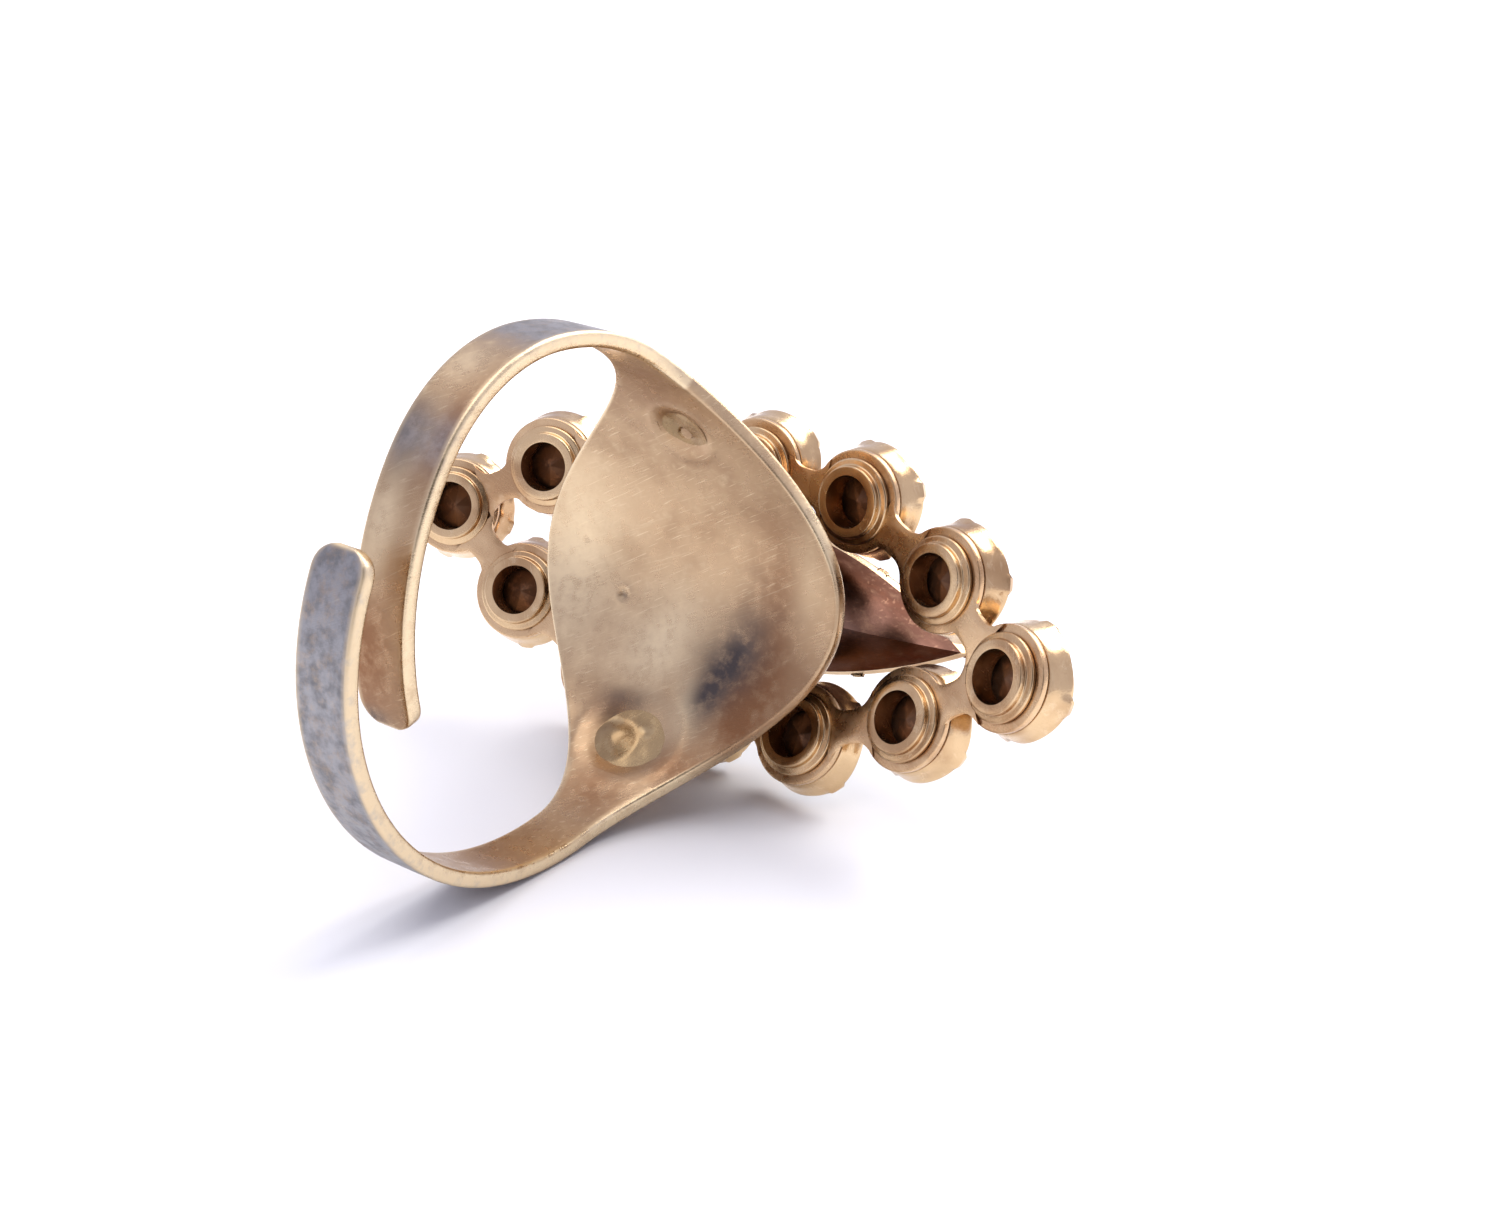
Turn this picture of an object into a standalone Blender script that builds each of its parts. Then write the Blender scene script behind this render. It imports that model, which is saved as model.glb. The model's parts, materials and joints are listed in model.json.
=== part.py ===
"""Adjustable cocktail ring, lying on its side: a stamped split shank, a domed frame of riveted
stone cups and a closed-back navette setting.

Everything is drawn in the ring's own axes, in millimetres, and then leaned over onto the table:
x runs along the finger, y from the setting towards the back of the shank, z up the shield pad.
"""
import math

import bmesh
import bpy
from mathutils import Matrix, Vector

MM = 0.001
CLEARANCE = 0.03

# The ring leans towards its setting, so that the shank and the lower cups touch the table.
LEAN = math.radians(19.5)

# Shank: one blank 0.6 mm thick, a shield pad between two arms whose ends overlap at the back.
SHANK_THICKNESS = 0.6
EDGE_ROUNDING = 0.14
PAD_CENTRE = Vector((0.0, 1.83, 0.26))
PAD_TILT = math.radians(9.87)
PAD_RADIUS = 9.6
PAD_HALF_WIDTH = 6.81
PAD_DISH = 0.3
ARM_HALF_WIDTH = 1.16
SHOULDER = 11.63
SHOULDER_SHARPNESS = 2.02
HINGE_AT = 11.0
HINGE_GAP = 0.06

# Each side of the shank's middle line is a run of arcs: (radius, length), from the pad's centre.
UPPER_ARCS = ((PAD_RADIUS, 16.4), (6.3, 6.3), (10.4, 40.0))
LOWER_ARCS = ((PAD_RADIUS, 3.3), (9.0, 8.4), (10.6, 4.5), (9.4, 40.0))
UPPER_LENGTH = 31.9
LOWER_LENGTH = 33.0

# Solder joints: where each sits on the pad, its pocket and its puddle.
JOINTS = {
    "upper": {"along": 6.45, "across": -0.15, "pocket_radius": 1.15, "pocket_depth": 0.3, "puddle": 0.98},
    "lower": {"along": -6.85, "across": 0.35, "pocket_radius": 1.7, "pocket_depth": 0.36, "puddle": 1.25},
}
POST_RADIUS = 0.55

# Frame: round lobes joined by short bars into a navette loop. A quarter of the loop is given.
LOBE_PLACES = ((12.8, 0.0), (9.1, 2.55), (4.66, 4.41), (0.0, 4.6))
LOBE_RADIUS = 1.95
PLATE = 0.3
PLATE_BACK = 0.5
BAR_WIDTH = 1.7
DOME = 0.009
TILT_ALONG = math.radians(1.44)
TILT_ACROSS = math.radians(1.88)

# Cups: (radius, height from the rivet's rolled rim), once round the section of the cup's metal.
HOLE = 0.95
NECK = 1.28
CUP_SEGMENTS = 24
CUP_BACK = PLATE_BACK + PLATE + CLEARANCE
CUP_SECTION = (
    (HOLE, 0.08), (1.05, 0.0), (1.26, 0.0), (1.35, 0.09), (1.35, 0.25), (1.62, 0.3),
    (1.62, PLATE_BACK - CLEARANCE), (NECK, PLATE_BACK - CLEARANCE), (NECK, CUP_BACK),
    (1.8, CUP_BACK), (2.04, 1.12), (2.2, 1.8),
)
CUP_INSIDE = ((2.06, 1.88), (1.84, 1.14), (1.6, 0.99), (HOLE, 0.99))
PLAIN_RIM = ((2.22, 1.92), (2.215, 1.97), (2.18, 2.0), (2.14, 2.0), (2.1, 1.96))
PRONG_RIM = ((2.25, 2.04), (2.1, 2.2), (1.72, 2.18), (1.7, 2.08), (2.02, 2.02))
SCALLOP = 0.12
PRONG_HALF_ANGLE = math.radians(13)
PRONGS = 4

# Stones: a round chaton for each cup, and a navette for the centre.
GIRDLE_RADIUS = 1.95
GIRDLE_HEIGHT = 1.69
GIRDLE = 0.06
TABLE_RADIUS = 1.1
TABLE_HEIGHT = 2.24
CULET_HEIGHT = 0.62

# Navette setting: (y, half length, half width) of its outside, then of its inside.
NAVETTE_POINTS = 14
SETTING_OUTSIDE = (
    (1.04, 5.7, 1.45), (0.86, 6.3, 1.72), (0.1, 7.3, 2.12), (-1.0, 8.35, 2.44),
    (-2.2, 9.15, 2.66), (-2.9, 9.7, 2.86),
)
SETTING_RIM = ((-3.05, 9.62, 2.82), (-3.08, 9.48, 2.74))
SETTING_INSIDE = ((-2.55, 9.2, 2.58), (-1.9, 8.6, 2.36), (-1.0, 7.95, 2.14), (0.1, 6.8, 1.8), (0.7, 5.5, 1.2))
NAVETTE_STONE = ((-3.75, 6.3, 1.35), (-2.75, 9.1, 2.52), (-2.66, 9.1, 2.52), (0.25, 4.4, 0.06))

FINISHES = {
    "shank_gilt": ((0.60, 0.47, 0.33), 0.36, 1.0),
    "cup_gilt": ((0.74, 0.56, 0.32), 0.27, 1.0),
    "solder": ((0.55, 0.47, 0.30), 0.45, 1.0),
    "clear_glass": ((0.85, 0.90, 0.95), 0.04, 0.0),
}


def clear_scene():
    """Remove whatever the scene holds."""
    for thing in list(bpy.data.objects):
        bpy.data.objects.remove(thing, do_unlink=True)


def finish(slot):
    """The Principled material of one finish, made once."""
    material = bpy.data.materials.get(slot)
    if material is None:
        colour, roughness, metallic = FINISHES[slot]
        material = bpy.data.materials.new(slot)
        material.use_nodes = True
        shader = material.node_tree.nodes["Principled BSDF"]
        shader.inputs["Base Color"].default_value = (*colour, 1.0)
        shader.inputs["Roughness"].default_value = roughness
        shader.inputs["Metallic"].default_value = metallic
        material.diffuse_color = (*colour, 1.0)
    return material


def make(name, shape, slot, parent, pivot=Vector()):
    """Turn a bmesh in ring millimetres into a named object whose origin is at the pivot."""
    bmesh.ops.remove_doubles(shape, verts=shape.verts, dist=0.002)
    bmesh.ops.translate(shape, verts=shape.verts, vec=-pivot)
    bmesh.ops.scale(shape, verts=shape.verts, vec=(MM, MM, MM))
    bmesh.ops.recalc_face_normals(shape, faces=shape.faces)
    mesh = bpy.data.meshes.new(name)
    shape.to_mesh(mesh)
    shape.free()
    mesh.shade_smooth()
    mesh.set_sharp_from_angle(angle=math.radians(32))
    piece = bpy.data.objects.new(name, mesh)
    piece.location = pivot * MM if parent.name == "lean" else Vector()
    piece.parent = parent
    mesh.materials.append(finish(slot))
    bpy.context.collection.objects.link(piece)
    return piece


def make_empty(name, location, parent=None):
    """An empty that carries or turns other pieces."""
    empty = bpy.data.objects.new(name, None)
    empty.empty_display_size = 2 * MM
    empty.location = location * MM
    empty.parent = parent
    bpy.context.collection.objects.link(empty)
    return empty


def cut(piece, name, shape, operation="DIFFERENCE"):
    """Keep a Boolean on a piece, made with a hidden wire cutter in ring millimetres."""
    cutter = make(name, shape, "solder", piece.parent, piece.matrix_basis.translation / MM)
    cutter.hide_render = True
    cutter.display_type = "WIRE"
    modifier = piece.modifiers.new(name, "BOOLEAN")
    modifier.object = cutter
    modifier.operation = operation
    modifier.solver = "EXACT"
    return cutter


def cylinder(radius, depth, matrix, segments=32):
    """A bmesh cylinder along its own z, placed by a matrix."""
    shape = bmesh.new()
    bmesh.ops.create_cone(shape, cap_ends=True, segments=segments, radius1=radius, radius2=radius,
                          depth=depth, matrix=matrix)
    return shape


def turned(section, segments, matrix, shift=None, closed=True):
    """Spin a section of (radius, height) points about z, let shift move each point, and place it."""
    shape = bmesh.new()
    points = [shape.verts.new((radius, 0, height)) for radius, height in section]
    edges = [shape.edges.new(pair) for pair in zip(points, points[1:])]
    if closed:
        edges.append(shape.edges.new((points[-1], points[0])))
    bmesh.ops.spin(shape, geom=points + edges, cent=(0, 0, 0), axis=(0, 0, 1), angle=2 * math.pi,
                   steps=segments, use_merge=True, use_duplicate=False)
    bmesh.ops.remove_doubles(shape, verts=shape.verts, dist=0.0005)
    if shift:
        for point in shape.verts:
            point.co = shift(point.co)
    bmesh.ops.transform(shape, matrix=matrix, verts=shape.verts)
    return shape


# ---------------------------------------------------------------- shank

def shank_point(along):
    """Place and heading of the middle line at a signed distance from the pad's centre."""
    side = 1 if along >= 0 else -1
    arcs = UPPER_ARCS if side > 0 else LOWER_ARCS
    heading = side * PAD_TILT
    place = PAD_CENTRE.copy()
    left = abs(along)
    for radius, length in arcs:
        run = min(left, length)
        turn = run / radius
        chord = 2 * radius * math.sin(turn / 2)
        middle = heading + turn / 2
        place += chord * Vector((0, math.sin(middle), side * math.cos(middle)))
        heading += turn
        left -= run
        if left <= 0:
            break
    tangent = Vector((0, math.sin(heading), side * math.cos(heading))) * side
    inward = Vector((0, math.cos(heading), -side * math.sin(heading)))
    return place, tangent, inward


def half_width(along):
    """Half the blank's width: a shield that runs out into the arms at the shoulders."""
    reach = min(abs(along) / SHOULDER, 1.0)
    flare = math.cos(reach * math.pi / 2) ** SHOULDER_SHARPNESS
    return ARM_HALF_WIDTH + (PAD_HALF_WIDTH - ARM_HALF_WIDTH) * flare


def blank_loop(shape, along, width, thickness, columns):
    """One rounded cross-section of the blank, as a closed loop of points."""
    place, _, inward = shank_point(along)
    rounding = min(EDGE_ROUNDING, thickness * 0.45, width * 0.45)
    flat = width - rounding
    dish = PAD_DISH * (width / PAD_HALF_WIDTH) ** 2
    across = [flat * (2 * i / columns - 1) for i in range(columns + 1)]
    corner = rounding * (1 - math.sqrt(0.5))
    edge = thickness / 2
    outline = [(u, edge) for u in across]
    outline += [(width - corner, edge - corner), (width, edge - rounding), (width, rounding - edge)]
    outline += [(width - corner, corner - edge)]
    outline += [(u, -edge) for u in reversed(across)]
    outline += [(corner - width, corner - edge), (-width, rounding - edge), (-width, edge - rounding)]
    outline += [(corner - width, edge - corner)]
    loop = []
    for u, lift in outline:
        bend = dish * (u / width) ** 2
        loop.append(shape.verts.new(place + Vector((u, 0, 0)) + inward * (lift + bend)))
    return loop


def blank(stations, columns):
    """Loft the blank through its stations: (distance along, half width, thickness)."""
    shape = bmesh.new()
    loops = [blank_loop(shape, *station, columns) for station in stations]
    for loop, following in zip(loops, loops[1:]):
        for i in range(len(loop)):
            j = (i + 1) % len(loop)
            shape.faces.new((loop[i], loop[j], following[j], following[i]))
    shape.faces.new(loops[0])
    shape.faces.new(loops[-1])
    return shape


def hinge_matrix(along):
    """A frame at a hinge whose z runs along the finger."""
    place, tangent, inward = shank_point(along)
    return Matrix.Translation(place) @ Matrix((tangent, inward, tangent.cross(inward))).transposed().to_4x4()


def make_pad(lean):
    """The shield pad, with pockets for the solder, holes for the posts and seats for the arms."""
    steps = 36
    spots = [HINGE_AT * (2 * i / steps - 1) for i in range(steps + 1)]
    shape = blank([(s, half_width(s), SHANK_THICKNESS) for s in spots], 6)
    pad = make("shank_pad", shape, "shank_gilt", lean)
    for side, sign in (("upper", 1), ("lower", -1)):
        seat = SHANK_THICKNESS / 2 + HINGE_GAP
        cut(pad, side + "_seat", cylinder(seat, 6, hinge_matrix(sign * HINGE_AT)))
        joint = JOINTS[side]
        ball = pocket_ball(joint)
        hollow = bmesh.new()
        above = Matrix.Translation((0, 0, ball - joint["pocket_depth"]))
        bmesh.ops.create_uvsphere(hollow, u_segments=40, v_segments=48, radius=ball,
                                  matrix=joint_matrix(joint) @ above)
        cut(pad, side + "_pocket", hollow)
        start, end = post_ends(side)
        run = (end - start).normalized() * 1.4
        hole = cylinder(POST_RADIUS + CLEARANCE, 2 * run.length, along_matrix(end - run, end + run), 20)
        cut(pad, side + "_post_hole", hole)
    return pad


def make_arm(name, sign, length, pivot_empty):
    """One arm of the shank: a rounded knuckle at its hinge and a rounded tongue at its tip."""
    edge = SHANK_THICKNESS / 2
    stations = []
    for i in range(1, 5):
        turn = math.radians(90 - 22.5 * i)
        stations.append((HINGE_AT - edge * math.sin(turn), 2 * edge * math.cos(turn)))
    straight = length - ARM_HALF_WIDTH
    steps = 30
    stations += [(HINGE_AT + (straight - HINGE_AT) * i / steps, 2 * edge) for i in range(1, steps + 1)]
    shape_stations = [(sign * s, half_width(s), thick) for s, thick in stations]
    for i in range(1, 9):
        turn = math.radians(10 * i)
        tip_width = ARM_HALF_WIDTH * math.cos(turn)
        shape_stations.append((sign * (straight + ARM_HALF_WIDTH * math.sin(turn)), tip_width, 2 * edge))
    place, _, _ = shank_point(sign * HINGE_AT)
    return make(name, blank(shape_stations, 2), "shank_gilt", pivot_empty, place)


# ---------------------------------------------------------------- solder and posts

def joint_matrix(joint):
    """A frame on the pad's inner face at a joint, whose z points at the finger."""
    place, tangent, inward = shank_point(joint["along"])
    place = place + Vector((joint["across"], 0, 0)) + inward * (SHANK_THICKNESS / 2)
    return Matrix.Translation(place) @ Matrix((inward.cross(tangent).cross(inward), inward.cross(tangent),
                                               inward)).transposed().to_4x4()


def pocket_ball(joint):
    """Radius of the ball that presses a joint's pocket."""
    depth = joint["pocket_depth"]
    return (joint["pocket_radius"] ** 2 + depth ** 2) / (2 * depth)


def post_ends(side):
    """A post's flat end in the middle cup's rivet, and the centre of its round end in the pad."""
    sign = 1 if side == "upper" else -1
    joint = JOINTS[side]
    matrix = cup_matrix(0.0, sign * LOBE_PLACES[-1][1])
    start = matrix @ Vector((0, 0, 0.2))
    end = joint_matrix(joint) @ Vector((0, 0, -joint["pocket_depth"] - 2 * CLEARANCE - POST_RADIUS))
    return start, end


def along_matrix(start, end):
    """A frame halfway between two points, whose z runs from one to the other."""
    turn = (end - start).to_track_quat("Z", "Y").to_matrix().to_4x4()
    return Matrix.Translation((start + end) / 2) @ turn


def make_post(side, lean):
    """The stub that joins a middle cup's rivet to the pad."""
    start, end = post_ends(side)
    length = (end - start).length
    section = [(0, 0), (POST_RADIUS, 0)]
    for i in range(7):
        turn = math.radians(15 * i)
        section.append((POST_RADIUS * math.cos(turn), length + POST_RADIUS * math.sin(turn)))
    place = along_matrix(start, end) @ Matrix.Translation((0, 0, -length / 2))
    return make("mounting_post_" + side, turned(section, 20, place, closed=False), "cup_gilt", lean)


def make_solder(side, lean):
    """The solder puddle in its pocket, a low dome."""
    joint = JOINTS[side]
    ball = pocket_ball(joint) - CLEARANCE
    centre = pocket_ball(joint) - joint["pocket_depth"]
    radius = joint["puddle"]
    rings = 6
    under = [radius * i / rings for i in range(rings + 1)]
    section = [(r, centre - math.sqrt(ball ** 2 - r ** 2)) for r in under]
    crest = -0.02
    lip = section[-1][1] + 0.05
    section += [(r, lip + (crest - lip) * math.cos(r / radius * math.pi / 2)) for r in reversed(under)]
    shape = turned(section, 32, joint_matrix(joint), closed=False)
    return make("solder_" + side, shape, "solder", lean)


# ---------------------------------------------------------------- frame, cups and stones

def loop_places():
    """Every lobe of the loop in order, from one tip round to the start."""
    quarter = list(LOBE_PLACES)
    upper = quarter + [(-x, z) for x, z in reversed(quarter[:-1])]
    return upper + [(x, -z) for x, z in reversed(upper[1:-1])]


def cup_matrix(x, z):
    """A cup's frame: its origin in the rivet's rim, its z towards the stone."""
    lean_out = Matrix.Rotation(TILT_ALONG * x, 4, "Z") @ Matrix.Rotation(-TILT_ACROSS * z, 4, "X")
    face_front = Matrix.Rotation(math.radians(90), 4, "X")
    return Matrix.Translation((x, DOME * x * x, z)) @ lean_out @ face_front


def make_frame(lean):
    """The stamped frame: lobes and bars joined by union, then pierced for the rivets."""
    places = loop_places()
    middle = PLATE_BACK + PLATE / 2
    matrices = [cup_matrix(x, z) for x, z in places]
    first = cylinder(LOBE_RADIUS, PLATE, matrices[0] @ Matrix.Translation((0, 0, middle)), CUP_SEGMENTS)
    frame = make("cluster_frame", first, "cup_gilt", lean)
    for i in range(1, len(places)):
        lobe = cylinder(LOBE_RADIUS, PLATE, matrices[i] @ Matrix.Translation((0, 0, middle)), CUP_SEGMENTS)
        cut(frame, "lobe_{:02d}".format(i + 1), lobe, "UNION")
    for i, matrix in enumerate(matrices):
        start = matrix @ Vector((0, 0, middle))
        end = matrices[(i + 1) % len(places)] @ Vector((0, 0, middle))
        facing = (matrix.col[2] + matrices[(i + 1) % len(places)].col[2]).to_3d().normalized()
        run = (end - start).normalized()
        side = facing.cross(run).normalized()
        turn = Matrix((run, side, run.cross(side))).transposed().to_4x4()
        length = (end - start).length - 2 * LOBE_RADIUS + 0.5
        bar = bmesh.new()
        bmesh.ops.create_cube(bar, size=1, matrix=Matrix.Translation((start + end) / 2) @ turn
                              @ Matrix.Diagonal((length, BAR_WIDTH, PLATE * 0.94, 1)))
        cut(frame, "bar_{:02d}".format(i + 1), bar, "UNION")
    for i, matrix in enumerate(matrices):
        hole = cylinder(NECK + CLEARANCE, 1.2, matrix @ Matrix.Translation((0, 0, middle)), CUP_SEGMENTS)
        cut(frame, "rivet_hole_{:02d}".format(i + 1), hole)
    return frame


def prong_share(angle):
    """1 on a prong, 0 between prongs, with a short slope at its sides."""
    pitch = 2 * math.pi / PRONGS
    off = abs((angle + pitch / 2) % pitch - pitch / 2)
    return max(0.0, min(1.0, (PRONG_HALF_ANGLE * 1.35 - off) / (PRONG_HALF_ANGLE * 0.5)))


def cup_shift(point):
    """Raise the rim into four folded prongs, and scallop it between them."""
    radius = math.hypot(point.x, point.y)
    angle = math.atan2(point.y, point.x)
    share = prong_share(angle)
    for plain, prong in zip(PLAIN_RIM, PRONG_RIM):
        if abs(radius - plain[0]) < 0.004 and abs(point.z - plain[1]) < 0.004:
            dip = SCALLOP * (0.5 + 0.5 * math.cos(PRONGS * angle + math.pi)) * (1 - share)
            new_radius = plain[0] + (prong[0] - plain[0]) * share
            height = plain[1] + (prong[1] - plain[1]) * share - dip
            return Vector((math.cos(angle) * new_radius, math.sin(angle) * new_radius, height))
    return point


def make_cup(index, places, lean):
    """A drawn cup with its tubular rivet, turned so that no prong faces its neighbour."""
    x, z = places[index]
    ahead = places[(index + 1) % len(places)]
    facing = math.atan2(ahead[1] - z, ahead[0] - x)
    spin = Matrix.Rotation(facing + math.pi / PRONGS, 4, "Z")
    section = CUP_SECTION + PLAIN_RIM + CUP_INSIDE
    shape = turned(section, CUP_SEGMENTS, cup_matrix(x, z) @ spin, cup_shift)
    return make("stone_cup_{:02d}".format(index + 1), shape, "cup_gilt", lean)


def ring_of(count, radius, height, offset=0.0):
    """Points evenly round a circle at one height."""
    turns = [2 * math.pi * (i + offset) / count for i in range(count)]
    return [Vector((radius * math.cos(t), radius * math.sin(t), height)) for t in turns]


def hull(points, matrix):
    """The convex solid through a set of points, placed by a matrix."""
    shape = bmesh.new()
    corners = [shape.verts.new(matrix @ p) for p in points]
    bmesh.ops.convex_hull(shape, input=corners)
    loose = [v for v in shape.verts if not v.link_faces]
    bmesh.ops.delete(shape, geom=loose, context="VERTS")
    bmesh.ops.dissolve_limit(shape, angle_limit=math.radians(0.5), verts=shape.verts, edges=shape.edges)
    return shape


def make_chaton(index, places, lean):
    """A round foiled stone, pointed at the back."""
    points = ring_of(8, TABLE_RADIUS, TABLE_HEIGHT, 0.5)
    points += ring_of(8, (TABLE_RADIUS + GIRDLE_RADIUS) * 0.53, TABLE_HEIGHT - 0.2)
    points += ring_of(16, GIRDLE_RADIUS, GIRDLE_HEIGHT + GIRDLE)
    points += ring_of(16, GIRDLE_RADIUS, GIRDLE_HEIGHT)
    points += [Vector((0, 0, CULET_HEIGHT))]
    return make("chaton_{:02d}".format(index + 1), hull(points, cup_matrix(*places[index])), "clear_glass", lean)


def navette(y, half_length, half_width, count=NAVETTE_POINTS):
    """A navette outline of two arcs meeting at its tips, in order round it."""
    outline = []
    for i in range(2 * count):
        turn = math.pi * i / count
        share = math.cos(turn)
        height = half_width * (1 - share * share)
        outline.append(Vector((half_length * share, y, height if math.sin(turn) >= 0 else -height)))
    return outline


def make_setting(lean):
    """The closed-back navette setting: an outside, a rim and an inside, lofted as one wall."""
    shape = bmesh.new()
    rows = SETTING_OUTSIDE + SETTING_RIM + SETTING_INSIDE
    loops = [[shape.verts.new(p) for p in navette(*row)] for row in rows]
    for loop, following in zip(loops, loops[1:]):
        for i in range(len(loop)):
            j = (i + 1) % len(loop)
            shape.faces.new((loop[i], loop[j], following[j], following[i]))
    shape.faces.new(loops[0])
    shape.faces.new(loops[-1])
    return make("centre_setting", shape, "cup_gilt", lean)


def make_centre_stone(lean):
    """The foiled navette stone, with a flat table and a keel."""
    points = []
    for row, count in zip(NAVETTE_STONE, (5, 8, 8, 2)):
        points += navette(*row, count=count)
    return make("centre_stone", hull(points, Matrix.Identity(4)), "clear_glass", lean)


# ---------------------------------------------------------------- assembly

def settle(lean, pieces):
    """Move the leaned ring so that it rests on z = 0 with its box centred on the origin."""
    bpy.context.view_layer.update()
    graph = bpy.context.evaluated_depsgraph_get()
    corners = []
    for piece in pieces:
        shown = piece.evaluated_get(graph)
        corners += [shown.matrix_world @ v.co for v in shown.data.vertices]
    low = Vector([min(c[axis] for c in corners) for axis in range(3)])
    high = Vector([max(c[axis] for c in corners) for axis in range(3)])
    lean.location -= Vector(((low.x + high.x) / 2, (low.y + high.y) / 2, low.z))
    bpy.context.view_layer.update()


def build():
    """Build every piece of the ring, then settle it on the table."""
    clear_scene()
    lean = make_empty("lean", Vector())
    lean.rotation_euler.x = LEAN
    pieces = [make_pad(lean)]
    for name, sign, length in (("arm_inner", 1, UPPER_LENGTH), ("arm_outer", -1, LOWER_LENGTH)):
        pivot = make_empty(name + "_bend", shank_point(sign * HINGE_AT)[0], lean)
        pieces.append(make_arm(name, sign, length, pivot))
    for side in JOINTS:
        pieces += [make_post(side, lean), make_solder(side, lean)]
    pieces.append(make_frame(lean))
    places = loop_places()
    for index in range(len(places)):
        pieces += [make_cup(index, places, lean), make_chaton(index, places, lean)]
    pieces += [make_setting(lean), make_centre_stone(lean)]
    settle(lean, pieces)


build()
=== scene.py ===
"""Looks of an adjustable cocktail ring that lies on its side on a pale table.

The ring is drawn in its own axes in millimetres, x along the finger, y from the stones towards
the back of the shank, z up the shield pad, and a Seat puts every finished mesh in the frame.
"""
import json
import logging
import math
from dataclasses import dataclass, field
from enum import Enum
from typing import Callable, Sequence

import bmesh
import bpy
from mathutils import Matrix, Vector, noise


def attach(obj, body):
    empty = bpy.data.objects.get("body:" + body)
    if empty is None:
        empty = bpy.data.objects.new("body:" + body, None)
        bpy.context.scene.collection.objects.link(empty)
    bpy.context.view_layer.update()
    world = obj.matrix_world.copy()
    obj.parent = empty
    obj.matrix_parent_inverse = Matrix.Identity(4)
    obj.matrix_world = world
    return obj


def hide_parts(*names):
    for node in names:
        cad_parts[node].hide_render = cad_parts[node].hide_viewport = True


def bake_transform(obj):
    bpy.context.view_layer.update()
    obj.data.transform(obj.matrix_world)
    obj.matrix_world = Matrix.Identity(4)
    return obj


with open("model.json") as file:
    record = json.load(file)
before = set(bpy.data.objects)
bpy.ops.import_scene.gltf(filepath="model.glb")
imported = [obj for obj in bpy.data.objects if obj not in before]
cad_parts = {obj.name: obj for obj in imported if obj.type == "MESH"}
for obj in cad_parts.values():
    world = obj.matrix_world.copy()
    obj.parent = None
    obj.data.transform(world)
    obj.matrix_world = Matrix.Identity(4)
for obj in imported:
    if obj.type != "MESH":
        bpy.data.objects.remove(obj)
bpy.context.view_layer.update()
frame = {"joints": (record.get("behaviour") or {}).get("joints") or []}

LOG = logging.getLogger("ring")
MM = 0.001
LEAN = math.radians(19.5)
SMOOTH_UNDER = math.radians(34)
Colour = tuple[float, float, float]
Section = Sequence[tuple[float, float]]


class Body(Enum):
    """The CAD bodies that pieces ride on."""

    SETTING = "setting"
    UPPER_ARM = "inner_arm"
    LOWER_ARM = "outer_arm"


class Face(Enum):
    """The two faces of the shank's blank."""

    INNER = "inner"
    OUTER = "outer"


class Tone(Enum):
    """What a patch on the shank does to its colour; on the pad's inner face the dark patches are mostly painted
    shade and painted reflection, and the pale ones painted reflection.
    """

    DARK = "dark"
    WARM = "warm"
    PALE = "pale"


class Slot(Enum):
    """The record's material slots."""

    SHANK = "shank_gilt"
    CUP = "cup_gilt"
    SOLDER = "solder"
    GLASS = "clear_glass"


def clamp(value: float, low: float = 0.0, high: float = 1.0) -> float:
    """The value, kept between two limits."""
    return max(low, min(high, value))


def smooth_step(start: float, end: float, value: float) -> float:
    """0 before start, 1 after end, and a smooth rise between."""
    share = clamp((value - start) / (end - start))
    return share * share * (3 - 2 * share)


# ---------------------------------------------------------------- materials

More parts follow.
